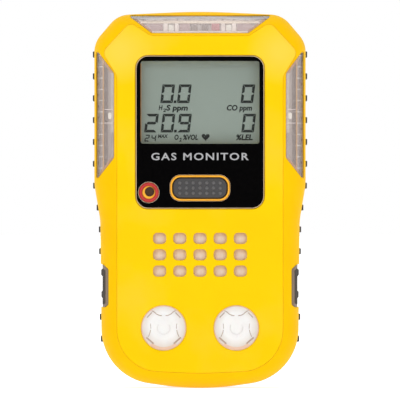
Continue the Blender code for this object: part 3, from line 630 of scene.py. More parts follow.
def tinted(colour, factor):
    return tuple(min(1.0, channel * factor) for channel in colour)


def moulded_plastic(name, colour, roughness, specular=0.3, grain=0.000012, variation=0.04, wear=None):
    """Injection-moulded plastic: fine spark-erosion grain, faint cloudiness and uneven gloss."""
    n = Nodes(name)
    colours = n.ramp(n.noise(55, 3), tinted(colour, 1 - variation), tinted(colour, 1 + variation))
    if wear:
        colours = n.worn_edges(colours, wear)
    n.colour(colours)
    n.roughness(n.scaled(n.noise(260, 4), roughness - 0.07, roughness + 0.07))
    n.bump(n.noise(5200, 2), grain)
    n.bump(n.noise(900, 2), grain * 0.8)
    n.set(Specular_IOR_Level=specular)
    return n.material


def yellow_face():
    """The front shell's plastic: dusty in patches, and paler on its two upper corners, where a painted
    highlight stands for the soft sheen of light on them.
    """
    n = Nodes("yellow_shell")
    # painted highlight: the face is mixed towards a paler yellow round the middle of each upper corner
    painted_sheen = n.scaled(n.distance_from(*EAR), 0.8, 0.0, 0.002, 0.011)
    dust = n.scaled(n.noise(38, 5), 0.0, 1.0, 0.5, 0.72)
    plain_tone = n.ramp(n.noise(55, 3), tinted(YELLOW, 0.97), tinted(YELLOW, 1.03))
    dusty = n.mixed(dust, plain_tone, DUSTY_YELLOW)
    with_sheen = n.mixed(painted_sheen, dusty, SHEEN_YELLOW)
    n.colour(n.worn_edges(with_sheen, WORN_YELLOW))
    n.roughness(n.scaled(n.noise(260, 4), 0.35, 0.49))
    n.bump(n.noise(5200, 2), 0.000012)
    n.bump(n.noise(900, 2), 0.00001)
    n.set(Specular_IOR_Level=0.05)
    return n.material


def rubber(name, colour, roughness=0.75, grain=0.00003, variation=0.12):
    n = Nodes(name)
    n.colour(n.ramp(n.noise(140, 5), tinted(colour, 1 - variation), tinted(colour, 1 + variation)))
    n.roughness(n.scaled(n.noise(420, 3), roughness - 0.1, roughness + 0.1))
    n.bump(n.noise(3600, 4), grain)
    n.set(Specular_IOR_Level=0.35, Sheen_Weight=0.08)
    return n.material


def brushed_metal(name, colour, roughness=0.3, stretch=(1, 1, 0.03), metallic=1.0, scratch=0.000006):
    """Metal with fine lines along the axis that stretch makes shorter, and a little staining."""
    n = Nodes(name)
    lines = n.noise(5200, 3, stretch)
    n.colour(n.ramp(n.noise(120, 4), tinted(colour, 0.86), tinted(colour, 1.08)))
    n.roughness(n.scaled(lines, roughness - 0.1, roughness + 0.14))
    n.bump(lines, scratch)
    n.set(Metallic=metallic)
    return n.material


def clear_plastic(name, colour, alpha, roughness, specular=0.5):
    n = Nodes(name)
    n.colour(n.ramp(n.noise(160, 2), tinted(colour, 0.96), colour))
    n.roughness(n.scaled(n.noise(500, 3), roughness * 0.7, roughness * 1.4))
    n.set(Alpha=alpha, Specular_IOR_Level=specular, IOR=1.49)
    return n.material


def gloss_black():
    n = Nodes("black_print")
    n.colour(n.ramp(n.noise(900, 2), (0.0008, 0.0007, 0.0008), (0.0016, 0.0014, 0.0015)))
    n.roughness(n.scaled(n.noise(300, 2), 0.05, 0.12))
    n.set(Specular_IOR_Level=0.005)
    return n.material


def lcd_panel():
    """The grey-green of a reflective liquid crystal panel, with the faint grain of its polariser."""
    n = Nodes("lcd_green")
    n.colour(n.ramp(n.noise(40, 1), (0.236, 0.280, 0.246), (0.255, 0.301, 0.265)))
    n.bump(n.noise(9000, 1), 0.000003)
    n.set(Roughness=0.35, Specular_IOR_Level=0.1)
    return n.material


def filter_sheet():
    """A porous filter of pressed fibres. Round the edge of each hole of the grille it is painted darker and
    warmer, as painted shade from the hole's walls and the painted yellow they throw back, with each hole's
    light middle set a little low and to the right.
    """
    n = Nodes("membrane")
    (columns, rows), (pitch_x, pitch_z) = GRILLE_COUNT, GRILLE_PITCH
    corner = at(-columns / 2 * pitch_x, GRILLE_Z - rows / 2 * pitch_z, 0)
    cells = n.vector("DIVIDE", n.vector("SUBTRACT", n.place, tuple(corner)), (pitch_x * MM, 1, pitch_z * MM))
    apart = n.vector("SUBTRACT", n.vector("FRACTION", cells), (0.53, 0, 0.41))
    distance = n.vector("LENGTH", n.vector("MULTIPLY", apart, (1, 0, 1)), output="Value")
    plain_tone = n.ramp(n.noise(1500, 3, (1, 1, 0.4)), (0.64, 0.52, 0.44), (0.70, 0.60, 0.53))
    shaded_tone = n.ramp(n.noise(1500, 3, (1, 1, 0.4)), (0.57, 0.39, 0.27), (0.64, 0.47, 0.35))
    # painted shade and painted yellow reflection round each hole, lighter in its middle
    n.colour(n.mixed(n.scaled(distance, 0, 1, 0.1, 0.38), plain_tone, shaded_tone))
    n.bump(n.noise(3000, 6, (1, 1, 0.35)), 0.00003)
    n.set(Roughness=0.9, Specular_IOR_Level=0.1)
    return n.material


def sintered_white():
    """White porous plastic, fine-grained and slightly translucent, painted darker and warmer towards its rim:
    painted shade where the dome turns away and painted yellow reflected from the shell round it. The shade is
    centred a little above the middle, so there is more of it at the bottom.
    """
    n = Nodes("screen_white")
    # painted shade and painted yellow reflection, growing from 4.2 mm out to the rim
    rim_shade = n.scaled(n.distance_from(SENSOR_X, SENSOR_Z + 0.6), 0, 1, 0.0042, 0.0071)
    plain_tone = n.ramp(n.noise(120, 3), (0.68, 0.67, 0.665), (0.72, 0.715, 0.71))
    shaded_tone = n.ramp(n.noise(300, 3), (0.54, 0.47, 0.42), (0.61, 0.55, 0.50))
    n.colour(n.mixed(rim_shade, plain_tone, shaded_tone))
    n.bump(n.noise(4200, 5), 0.000014)
    n.set(Roughness=0.5, Specular_IOR_Level=0.25, Subsurface_Weight=0.05, Subsurface_Scale=0.0006)
    return n.material


def circuit_board():
    """Green solder mask over copper tracks."""
    n = Nodes("board_green")
    pattern = {
        "Scale": 260,
        "Mortar Size": 0.012,
        "Color1": (0.012, 0.13, 0.05, 1),
        "Color2": (0.016, 0.16, 0.06, 1),
        "Mortar": (0.03, 0.24, 0.10, 1),
    }
    tracks = n.add("ShaderNodeTexBrick", pattern)
    n.link(n.mapped(Rotation=(pi / 2, 0, 0)), tracks.inputs["Vector"])
    n.colour(tracks.outputs["Color"])
    n.bump(tracks.outputs["Fac"], 0.00003)
    n.set(Roughness=0.35)
    return n.material


def cell_wrap():
    n = Nodes("cell_wrap")
    n.colour(n.ramp(n.noise(60, 3), (0.03, 0.09, 0.26), (0.05, 0.13, 0.33)))
    n.bump(n.noise(1500, 2), 0.00001)
    n.set(Roughness=0.3, Coat_Weight=0.4)
    return n.material


YELLOW = (0.79, 0.50, 0.0)
DUSTY_YELLOW = (0.80, 0.50, 0.022)
# the pale yellow of the painted highlight on the face's upper corners
SHEEN_YELLOW = (0.81, 0.535, 0.062)
WORN_YELLOW = (0.82, 0.55, 0.03)
YELLOW_RUBBER = (0.79, 0.45, 0.0)
WORN_RUBBER = (0.82, 0.52, 0.03)
# Plain moulded plastics: colour, roughness and, where it isn't the usual one, specular level
PLAIN_PLASTICS = {
    "collar_orange": ((0.78, 0.36, 0.025), 0.35, 0.2),
    # cream that paints the light caught on the window's rounded edge and the yellow it takes from the shell;
    # also the colour of the adhesive frame
    "window_edge": ((0.82, 0.68, 0.50), 0.3, 0.4),
    # tray_bright to tray_dark: one grey painted lighter and darker, as painted light and shade behind the
    # alarm lenses; rib_glint is painted glints
    "tray_bright": ((0.84, 0.74, 0.69), 0.3),
    "rib_glint": ((0.97, 0.93, 0.89), 0.3),
    "tray_mild": ((0.54, 0.48, 0.45), 0.3),
    "tray_light": ((0.52, 0.45, 0.43), 0.3),
    "tray_soft": ((0.39, 0.325, 0.305), 0.3),
    "tray_middle": ((0.33, 0.27, 0.255), 0.3),
    "tray_dark": ((0.17, 0.125, 0.11), 0.3),
    "tray_rosy": ((0.50, 0.37, 0.37), 0.3),
    "tray_amber": ((0.50, 0.24, 0.09), 0.3),
    "tray_red": ((0.55, 0.26, 0.27), 0.3),
    "tan_plastic": ((0.56, 0.31, 0.12), 0.4),
    "led_lens": ((0.84, 0.79, 0.72), 0.25, 0.5),
    "title_ink": ((0.33, 0.33, 0.34), 0.5, 0.1),
    "segment_ink": ((0.022, 0.025, 0.023), 0.4, 0.1),
    "warning_red": ((0.39, 0.017, 0.013), 0.35, 0.3),
    "cream_plastic": ((0.86, 0.73, 0.61), 0.35, 0.3),
    "screen_pink": ((0.42, 0.31, 0.25), 0.5),
    # painted shade and painted yellow reflection on a sensor screen's rim
    "screen_rim_painted_light": ((0.64, 0.44, 0.33), 0.5),
    "screen_grey": ((0.67, 0.655, 0.65), 0.5),
    "buzzer_brown": ((0.10, 0.062, 0.034), 0.5, 0.3),
    "component_black": ((0.02, 0.02, 0.02), 0.45, 0.5),
    "white_plastic": ((0.75, 0.75, 0.73), 0.5, 0.4),
}
MATERIALS = {name: moulded_plastic(name, *values) for name, values in PLAIN_PLASTICS.items()}
MATERIALS |= {
    "yellow_shell": yellow_face(),
    "yellow_rubber": moulded_plastic("yellow_rubber", YELLOW_RUBBER, 0.5, 0.04, 0.00002, wear=WORN_RUBBER),
    "dark_plastic": moulded_plastic("dark_plastic", (0.035, 0.033, 0.032), 0.5, 0.4, 0.00004, 0.1),
    "dark_rubber": rubber("dark_rubber", (0.06, 0.055, 0.052)),
    # paler grey-brown rubber: painted light caught on the dock tongue's chamfered edge
    "chamfer_light_rubber": rubber("chamfer_light_rubber", (0.264, 0.227, 0.208), variation=0.06),
    "clear_plastic": clear_plastic("clear_plastic", (0.56, 0.51, 0.49), 0.17, 0.12),
    # paler, more opaque lens plastic: painted light on each lens's outermost strip
    "edge_pale": clear_plastic("edge_pale", (0.72, 0.72, 0.74), 0.4, 0.12),
    "edge_warm": clear_plastic("edge_warm", (0.62, 0.46, 0.34), 0.27, 0.12),
    "window_clear": clear_plastic("window_clear", (0.02, 0.02, 0.02), 0.04, 0.04, 0.1),
    "black_print": gloss_black(),
    "button_grey": rubber("button_grey", (0.036, 0.034, 0.035), 0.42, 0.00001, 0.06),
    # lighter grey on the key's bumps: painted highlight
    "bump_highlight_grey": rubber("bump_highlight_grey", (0.088, 0.085, 0.086), 0.35, 0.00001, 0.06),
    "lcd_green": lcd_panel(),
    "membrane": filter_sheet(),
    "screen_white": sintered_white(),
    "board_green": circuit_board(),
    "steel": brushed_metal("steel", (0.56, 0.56, 0.57)),
    "steel_dark": brushed_metal("steel_dark", (0.24, 0.24, 0.25), 0.35, (1, 1, 1)),
    "brass": brushed_metal("brass", (0.78, 0.56, 0.22), 0.3, (1, 1, 1)),
    "cell_wrap": cell_wrap(),
    "label_film": brushed_metal("label_film", (0.42, 0.43, 0.44), 0.42, (0.05, 1, 1), 0.3),
}


def mesh_of(curve):
    """The mesh that a curve stands for."""
    source = placed(curve.name, curve)
    bpy.context.view_layer.update()
    mesh = bpy.data.meshes.new_from_object(source.evaluated_get(bpy.context.evaluated_depsgraph_get()))
    bpy.data.objects.remove(source)
    return mesh


def paint(obj, *names, index=0):
    """Gives an object its materials and all its faces the one at index."""
    obj.data.materials.clear()
    for name in names:
        obj.data.materials.append(MATERIALS[name])
    if index:
        painted_where(obj, lambda face: True, index)


def painted_where(obj, test, index):
    """Gives the faces that pass the test another of the object's materials."""
    for face in obj.data.polygons:
        if test(face):
            face.material_index = index


def finish(obj, material, body="housing", replaces=(), sharp=35, weighted=True):
    """Shades a piece, paints it, ties it to its body and hides the CAD nodes that it stands for."""
    if material:
        paint(obj, material)
    obj.data.shade_smooth()
    obj.data.set_sharp_from_angle(angle=radians(sharp))
    if weighted:
        normals = obj.modifiers.new("weighted_normals", "WEIGHTED_NORMAL")
        normals.keep_sharp = True
        normals.weight = 80
    if replaces:
        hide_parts(*replaces)
    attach(obj, body)
    return obj


# Camera, lights and floor


def make_camera():
    data = bpy.data.cameras.new("camera")
    data.lens = 800.0
    data.sensor_width = 36.0
    view_width = 127.2 * MM
    camera = placed("camera", data)
    distance = view_width * data.lens / data.sensor_width
    camera.location = (0, Y_FRONT * MM - distance, (Z_BOTTOM + 60.0) * MM)
    camera.rotation_euler = (pi / 2, 0, 0)
    data.clip_start, data.clip_end = 0.1, 100
    bpy.context.scene.camera = camera


def area_light(name, place, size, energy, colour=(1, 1, 1)):
    data = bpy.data.lights.new(name, "AREA")
    data.shape, data.size, data.energy, data.color = "DISK", size, energy, colour
    light = placed(name, data)
    light.location = place
    light.rotation_euler = (-Vector(place)).to_track_quat("-Z", "Y").to_euler()


FRONT_ROOM = 0.6  # how bright the room is in front of the part, against 1 behind it


def make_world():
    """A white backdrop. What lights the part is a bright room that is darker towards its front, with a
    black spot straight ahead that keeps the gloss of the front panel dark."""
    world = bpy.data.worlds.new("studio")
    world.use_nodes = True
    tree = world.node_tree
    link = tree.links.new
    background = tree.nodes["Background"]
    direction = new_node(tree, "ShaderNodeTexCoord", {}).outputs["Generated"]
    parts = new_node(tree, "ShaderNodeSeparateXYZ", {})
    link(direction, parts.inputs["Vector"])
    shades = new_node(tree, "ShaderNodeMapRange", {"From Min": -1, "From Max": 1})
    ramp = new_node(tree, "ShaderNodeValToRGB", {})
    link(parts.outputs["Y"], shades.inputs["Value"])
    link(shades.outputs["Result"], ramp.inputs["Fac"])
    link(ramp.outputs["Color"], background.inputs["Color"])
    elements = ramp.color_ramp.elements
    elements[0].position, elements[0].color = 0.006, (0.02, 0.02, 0.02, 1)
    elements[1].position, elements[1].color = 0.5, (1, 1, 1, 1)
    side = elements.new(0.03)
    side.color = (FRONT_ROOM, FRONT_ROOM, FRONT_ROOM, 1)
    backdrop = new_node(tree, "ShaderNodeBackground", {"Color": (1, 1, 1, 1)})
    seen_directly = new_node(tree, "ShaderNodeLightPath", {}).outputs["Is Camera Ray"]
    chosen = new_node(tree, "ShaderNodeMixShader", {})
    link(seen_directly, chosen.inputs[0])
    link(background.outputs["Background"], chosen.inputs[1])
    link(backdrop.outputs["Background"], chosen.inputs[2])
    link(chosen.outputs["Shader"], tree.nodes["World Output"].inputs["Surface"])
    bpy.context.scene.world = world


def make_stage():
    scene = bpy.context.scene
    scene.view_settings.view_transform = "Standard"
    make_world()
    area_light("key", (-0.5, -1.1, 0.9), 0.5, 4.3)
    area_light("fill", (0.9, -0.9, 0.1), 0.8, 2.0)
    area_light("low", (0.0, -1.3, 0.0), 0.6, 1.8)
    area_light("top", (0.0, -0.1, 1.3), 0.8, 3)
    bm = bmesh.new()
    bmesh.ops.create_circle(bm, cap_ends=True, segments=96, radius=12.0)
    floor = new_object("floor", bm)
    floor.location.z = CAD_LOW.z
    n = Nodes("floor")
    n.colour(n.ramp(n.noise(6, 2), (0.66, 0.66, 0.66), (0.70, 0.70, 0.70)))
    n.set(Roughness=0.8, Specular_IOR_Level=0.0, Emission_Color=(1, 1, 1, 1), Emission_Strength=0.7)
    floor.data.materials.append(n.material)


# Housing pieces


def make_front_shell():
    shell = front_body("front_shell_visible", SHELL_SKIN_START, FRONT_SHELL_BACK)
    face = inset(WHOLE_FACE, SEAM_GAP)
    join(shell, rounded_prism("plate", face, 0.0, SHELL_SKIN_START + 1.0, SEAM))
    cut(shell, front_body("cavity", SHELL_SKIN_END, FRONT_SHELL_BACK + 3))
    for place in SCREW_PLACES.values():
        boss = post(place, BOSS_RADIUS, 2.0, FRONT_SHELL_BACK, 24)
        join(shell, clip_to(boss, front_body("core", SHELL_SKIN_START + 0.3, FRONT_SHELL_BACK + 1)))
        cut(shell, post(place, PILOT_RADIUS, 8, 17, 16))
    cut(shell, *window_cutters())
    cut(shell, *notch_cutters(-1, 20))
    pocket = rectangle_corners(WINDOW_CENTRE, grown(WINDOW_SIZE, 0.2), 10)
    cut(shell, hole_cutter(pocket, 0.0, (0.8, 0.45), POCKET_FLOOR, 6))
    cut(shell, prism("aperture", rounded_rectangle(LCD_CENTRE, grown(LCD_SIZE, 0.3)), 1, 6))
    ring = rectangle_corners((0, BUTTON_Z), COLLAR_OUTSIDE, 8)
    collar = rounded_prism("collar", ring, COLLAR_FRONT, 2.6, (0.3, 0.35))
    join(shell, collar, post((PORT_X, PORT_Z), PORT_TUBE, 0.75, 2.6, 40))
    key_hole = rectangle_corners((0, BUTTON_Z), COLLAR_OPENING, 8)
    cut(shell, hole_cutter(key_hole, COLLAR_FRONT, (0.28, 0.4), 6))
    x, z, radius = PORT_X + PORT_HOLE[0], PORT_Z + PORT_HOLE[1], PORT_HOLE[2]
    port = [(radius + 0.1, -1), (radius + 0.1, 0.76), (radius, 1.4), (radius, 6)]
    cut(shell, turned("port", (x, z, 0), "depth", port, 40))
    cut(shell, prism("pocket", rounded_rectangle((0, GRILLE_Z), GRILLE_POCKET), 1.4, 6))
    for place in grille_places():
        cut(shell, hole_cutter(rectangle_corners(place, GRILLE_HOLE, 5), 0.0, (0.35, 0.35), 3, 4))
    for x in (-SENSOR_X, SENSOR_X):
        slope = [(DISH_EDGE - DISH_SLOPE * sin(a), DISH_DEPTH * (1 - cos(a)) - ABOVE) for a in quarter(8)]
        dish = [(DISH_EDGE, -1.0)] + slope + [(DISH_HOLE, 0.55), (DISH_HOLE, 6)]
        cut(shell, turned("dish", (x, SENSOR_Z, 0), "depth", dish, 72))
    paint(shell, "yellow_shell", "collar_orange")
    painted_where(shell, lambda face: on_collar(face.center) or on_port(face.center), 1)
    finish(shell, None, replaces=["front_shell"])


def on_collar(centre):
    """Whether a point is on the raised rim round the push button."""
    width, height, radius = COLLAR_OUTSIDE
    x, z, depth = design_place(centre)
    return abs(x) < width / 2 + 0.1 and abs(z - BUTTON_Z) < height / 2 + 0.1 and depth < 2.0


def on_port(centre):
    """Whether a point is on the tube of the sound port."""
    x, z, depth = design_place(centre)
    return hypot(x - PORT_X, z - PORT_Z) < PORT_TUBE + 0.1


def make_bumper():
    bumper = front_body("bumper_visible", 0.0, BUMPER_BACK)
    cut(bumper, front_body("core", BUMPER_SKIN, BUMPER_BACK + 3))
    cut(bumper, hole_cutter(WHOLE_FACE, 0.0, SEAM, 5))
    reach, depth = WINDOW_REBATE
    for outline in windows(-reach).values():
        step = prism("rebate", outline, -1, 14)
        cut(bumper, cut(step, front_body("floor", depth, 20)))
    cut(bumper, *window_cutters())
    cut(bumper, *notch_cutters(-1, 20))
    finish(bumper, "yellow_rubber", replaces=["bumper"])


def make_alarm_windows():
    for side, outline in windows(LENS_GAP).items():
        lens = front_body(f"{side}_lens", LENS_SINK, 14)
        clip_to(lens, prism("window", outline, -1, 12))
        cut(lens, front_body("core", LENS_SKIN, 16))
        # the outermost strip of the lens is painted paler, as painted light where the bumper's lip shades
        # what lies behind it
        paint(lens, "clear_plastic", "edge_pale" if side == "top" else "edge_warm")
        painted_where(lens, lambda face: at_lens_edge(face.center), 1)
        finish(lens, None, replaces=[f"{side}_alarm_lens"])


def at_lens_edge(centre):
    """Whether a point is on the outermost strip of an alarm window, which is painted paler and more opaque:
    painted light over the reflector that the bumper's lip keeps in shade behind it.
    """
    x, z, depth = design_place(centre)
    return abs(x) > LENS_EDGE[0] or z > LENS_EDGE[1]


def between_skins(part, near, far):
    """part, kept only where it lies between two depths below the flank's surface."""
    clip_to(part, front_body("near", near, 14))
    return cut(part, front_body("far", far, 18))


def bar_behind(side, x_range, z_range, lift, outline):
    """A bar behind an alarm window that stands out of the reflector by lift."""
    if side == "left":
        x_range = (-x_range[1], -x_range[0])
    bar = clip_to(box("bar", x_range, z_range, (-1, 12)), prism("window", outline, -1, 12))
    if not bar.data.polygons:
        bpy.data.objects.remove(bar)
        return None
    near = REFLECTOR_SKIN[0]
    return between_skins(bar, near - lift, near + 0.5)


# What shows behind the windows, as (x range, z range, how far it stands out, material). The side ones are
# given for the right-hand side.
# The greys from tray_bright to tray_dark are one warm grey painted lighter and darker: painted light and
# shade inside the lamps, all made paler to make up for the light the lens holds back. rib_glint paints the
# glints on the prisms. The tan, cream, rosy, red and amber are colours of their own.
SIDE_TRAY = [
    ((27.0, 27.6), (81.5, 110), 0.25, "tray_light"),
    ((27.6, 28.3), (81.5, 110), 0.2, "tray_mild"),
    ((28.3, 28.8), (81.5, 110), 0.15, "tray_soft"),
    ((27.0, 28.1), (60, 81.5), 0.2, "tray_soft"),
    ((28.1, 28.8), (60, 81.5), 0.15, "tray_middle"),
    ((28.8, 29.3), (60, 110), 0.1, "tray_middle"),
    ((29.3, 30.5), (60, 110), 0.05, "tray_dark"),
    ((30.55, 31.0), (60, 110), 0.5, "tan_plastic"),
    ((31.0, 33.0), (60, 110), 0.3, "tray_middle"),
    ((27.8, 30.5), (88.75, 88.95), 0.4, "tray_bright"),
    ((27.8, 30.5), (84.4, 84.6), 0.4, "tray_bright"),
    ((27.5, 28.2), (78.0, 81.2), 0.3, "tray_middle"),
]
TOP_TRAY = [
    ((-24, 24), (117.0, 119), 0.3, "tray_bright"),
    ((-19, 19), (116.2, 117.0), 0.5, "cream_plastic"),
    ((-24, 24), (113.9, 116.2), 0.05, "tray_light"),
    ((-24, 24), (112.5, 113.8), 0.4, "tray_bright"),
    ((-17.2, -11.9), (113.9, 116.2), 0.3, "tray_rosy"),
    ((-11.6, -10.3), (113.7, 116.2), 0.5, "tray_bright"),
    ((-8.0, -6.8), (113.7, 116.2), 0.5, "tray_bright"),
    ((-6.4, -3.2), (113.9, 116.2), 0.3, "tray_rosy"),
    ((-2.9, -0.8), (113.9, 116.2), 0.4, "tray_middle"),
    ((0.5, 2.6), (113.9, 116.2), 0.4, "tray_middle"),
    ((3.7, 6.2), (113.9, 116.2), 0.4, "tray_red"),
    ((6.8, 7.9), (113.7, 116.2), 0.5, "tray_bright"),
    ((10.2, 11.5), (113.7, 116.2), 0.5, "tray_bright"),
    ((11.8, 16.5), (113.9, 116.2), 0.3, "tray_rosy"),
]
RIB = 0.2
RIB_LIFT = 0.6
REFLECTOR_RIM = (0.7, 0.45)  # how wide the band at a reflector's slanted ends is, and how far it stands out
# The x and z ranges of the plate that faces forward along each reflector's outer edge, and its material,
# whose pale colour paints light on a strip that the bumper's lip keeps in shade
EDGE_PLATES = {
    "top": ((-22.6, 22.6), (117.9, 118.6), "tray_bright"),
    "left": ((-32.8, -32.0), (66.0, 108.0), "tray_light"),
    "right": ((32.0, 32.8), (66.0, 108.0), "tray_light"),
}
EDGE_PLATE_DEPTH = (4.8, 9.5)
# The x and z ranges of each reflector that the band leaves out
SLANTED_ONLY = {
    "top": [((-15.3, 15.3), (110, 121)), ((-24, 24), (118.0, 121))],
    "left": [((-34, -26), (73.4, 100.4)), ((-34, -32), (60, 110))],
    "right": [((26, 34), (73.4, 100.4)), ((32, 34), (60, 110))],
}


def reflector_ribs(side):
    """The prisms of a light pipe, with a dark gap between each two at its outer edge."""
    ribs = []
    for k in range(-6, 7):
        if side == "top":
            middle = k * RIB_PITCH
            ribs.append(((middle - RIB / 2, middle + RIB / 2), (117.2, 119), RIB_LIFT, "tray_middle"))
            continue
        middle = LED_Z - 2.3 + k * RIB_PITCH
        gap = middle + RIB_PITCH / 2
        ribs.append(((31.0, 34), (middle - RIB / 2, middle + RIB / 2), RIB_LIFT, "rib_glint"))
        ribs.append(((29.0, 30.5), (middle - RIB / 2, middle + RIB / 2), 0.3, "tray_middle"))
        ribs.append(((32.2, 34), (gap - 0.35, gap + 0.35), RIB_LIFT, "tray_dark"))
    return ribs


def make_reflectors():
    near, far = REFLECTOR_SKIN
    rim_width, rim_lift = REFLECTOR_RIM
    for side, outline in windows(0.1).items():
        parts = [(between_skins(prism("back", outline, -1, 12), near, far), "tray_middle")]
        rim = cut(prism("rim", outline, -1, 12), prism("inside", windows(rim_width)[side], -2, 13))
        for x_range, z_range in SLANTED_ONLY[side]:
            cut(rim, box("straight", x_range, z_range, (-2, 13)))
        parts.append((between_skins(rim, near - rim_lift, near + 0.2), "tray_amber"))
        # the edge plate's pale colour is painted light on a strip that the bumper's lip shades
        x_range, z_range, material = EDGE_PLATES[side]
        plate = clip_to(box("plate", x_range, z_range, EDGE_PLATE_DEPTH), prism("window", outline, -1, 12))
        parts.append((clip_to(plate, front_body("near", near - RIB_LIFT + 0.05, 14)), material))
        tray = TOP_TRAY if side == "top" else SIDE_TRAY
        for x_range, z_range, lift, material in tray + reflector_ribs(side):
            bar = bar_behind(side, x_range, z_range, lift, outline)
            if bar:
                parts.append((bar, material))
        reflector = gathered(f"{side}_reflector_visible", parts)
        finish(reflector, None, replaces=[f"{side}_reflector"])


def gathered(name, parts):
    """Several meshes, each with the name of its material, as one object."""
    bm = bmesh.new()
    names = sorted({material for part, material in parts})
    for part, material in parts:
        first = len(bm.faces)
        bm.from_mesh(part.data)
        bm.faces.ensure_lookup_table()
        for face in bm.faces[first:]:
            face.material_index = names.index(material)
        bpy.data.objects.remove(part)
    obj = new_object(name, bm)
    for material in names:
        obj.data.materials.append(MATERIALS[material])
    return obj


# Front panel


def panel_holes(obj, collar_gap, ring_gap, fillet):
    front = min(v.co.y for v in obj.data.vertices) / MM - Y_FRONT
    collar = rectangle_corners((0, BUTTON_Z), grown(COLLAR_OUTSIDE, collar_gap), 8)
    cut(obj, hole_cutter(collar, front, (fillet, fillet), 4))
    return cut(obj, round_hole_cutter((PORT_X, PORT_Z), PORT_RING[1] + ring_gap, front, fillet, 4))


def make_display():
    """The window, printed black all round its clear middle, and what lies under its edges."""
    outline = rectangle_corners(WINDOW_CENTRE, WINDOW_SIZE, 10)
    window = rounded_plate("window_visible", outline, *WINDOW_DEPTH, 0.3)
    panel_holes(window, 0.1, 0.15, 0.12)
    cut(window, prism("aperture", rounded_rectangle(LCD_CENTRE, LCD_SIZE, 6), -1, 4))
    paint(window, "black_print", "window_edge", "window_clear")
    # the window's rounded edge and the walls of its holes are painted cream: painted highlight with the
    # shell's yellow reflected in it
    painted_where(window, lambda face: abs(face.normal.y) < 0.97 and not over_lcd(face.center), 1)
    clear = prism("clear", rounded_rectangle(LCD_CENTRE, grown(LCD_SIZE, -0.005), 6), *WINDOW_DEPTH)
    paint(clear, "window_clear")
    paint_window_parts(window, clear)

    mask = rounded_rectangle(WINDOW_CENTRE, grown(WINDOW_SIZE, -0.2), 10)
    mask = prism("mask_visible", mask, *MASK_DEPTH)
    panel_holes(mask, 0.1, 0.15, 0.05)
    cut(mask, prism("aperture", rounded_rectangle(LCD_CENTRE, LCD_SIZE, 6), -1, 4))
    finish(mask, "black_print", replaces=["window_mask"])

    (x, z), (width, height, radius) = LCD_CENTRE, LCD_SIZE
    left, low, high = x - width / 2, z - height / 2, z + height / 2
    liner = box("lcd_liner", (left - 0.1, left + 0.22), (low + 0.8, high - 0.8), (2.0, 3.35))
    finish(liner, "tan_plastic")

    section = rounded_section(*PORT_RING, 0.45, 1.9, 0.25)
    ring = turned_ring("port_ring_visible", (PORT_X, PORT_Z), section, 64)
    finish(ring, "warning_red", replaces=["sound_port_ring"])


def over_lcd(centre):
    """Whether a point lies on the wall of the opening for the display, or inside it."""
    x, z, depth = design_place(centre)
    across, upward = x - LCD_CENTRE[0], z - LCD_CENTRE[1]
    return abs(across) < LCD_SIZE[0] / 2 + 0.1 and abs(upward) < LCD_SIZE[1] / 2 + 0.1


def paint_window_parts(window, clear):
    """Adds the clear middle to the printed window and finishes both as one piece."""
    bm = bmesh.new()
    bm.from_mesh(window.data)
    first = len(bm.faces)
    bm.from_mesh(clear.data)
    bm.faces.ensure_lookup_table()
    for face in bm.faces[first:]:
        face.material_index = 2
    bpy.data.objects.remove(clear)
    bm.to_mesh(window.data)
    bm.free()
    finish(window, None, replaces=["display_window"])


def rounded_section(inner, outer, front, back, fillet, steps=4):
    """The (radius, depth) section of a ring whose two front edges are rounded."""
    arc = quarter(steps)
    left = [(inner + fillet * (1 - cos(a)), front + fillet * (1 - sin(a))) for a in arc]
    right = [(outer - fillet * (1 - cos(a)), front + fillet * (1 - sin(a))) for a in reversed(arc)]
    return left + right + [(outer, back), (inner, back)]


# Which of the seven segments each digit lights: top, upper right, lower right, bottom, lower left, upper
# left, middle
LIT = {"0": "abcdef", "2": "abged", "4": "fgbc", "9": "abcdfg", ".": "."}
SLANT = tan(radians(7))


def segment_shapes(width, height, bar):
    """The seven segments' outlines by letter, with small gaps where they meet."""
    gap = 0.06 * bar
    middle = height / 2
    left, right = 0.0, width

    def level(z, direction):
        deep = bar * 0.5 if direction == 0 else bar
        if direction == 0:
            ends = [(left + deep, z), (left + 2 * deep, z + deep), (right - 2 * deep, z + deep)]
            return ends + [(right - deep, z), (right - 2 * deep, z - deep), (left + 2 * deep, z - deep)]
        inner = z + direction * deep
        return [(left + gap, z), (right - gap, z), (right - gap - deep, inner), (left + gap + deep, inner)]

    def upright(x, low, high, direction):
        inner = x + direction * bar
        low_cut = bar if low == 0 else bar * 0.5
        high_cut = bar if high == height else bar * 0.5
        near, far = low + gap, high - gap
        return [(x, near), (x, far), (inner, far - high_cut), (inner, near + low_cut)]

    return {
        "a": level(height, -1),
        "d": level(0.0, 1),
        "g": level(middle, 0),
        "b": upright(right, middle, height, -1),
        "c": upright(right, 0.0, middle, -1),
        "e": upright(left, 0.0, middle, 1),
        "f": upright(left, middle, height, 1),
    }


def add_plate(bm, outline, front, back):
    """Adds a flat plate with a closed outline of (x, z) points to bm."""
    near = [bm.verts.new(at(x, z, front)) for x, z in outline]
    far = [bm.verts.new(at(x, z, back)) for x, z in outline]
    bm.faces.new(near)
    bm.faces.new(far[::-1])
    for i in range(len(near)):
        j = (i + 1) % len(near)
        bm.faces.new((near[i], far[i], far[j], near[j]))


def digit_plates(bm, text, place, size, pitch, bar, depths):
    (x, z), (width, height) = place, size
    for symbol in text:
        shapes = segment_shapes(width, height, bar)
        if symbol == ".":
            dot = width - pitch + 0.25
            shapes["."] = [(dot, 0), (dot + bar, 0), (dot + bar, bar), (dot, bar)]
        for letter in LIT[symbol]:
            slanted = [(x + px + (pz - height / 2) * SLANT, z + pz) for px, pz in shapes[letter]]
            add_plate(bm, slanted, *depths)
        if symbol != ".":
            x += pitch


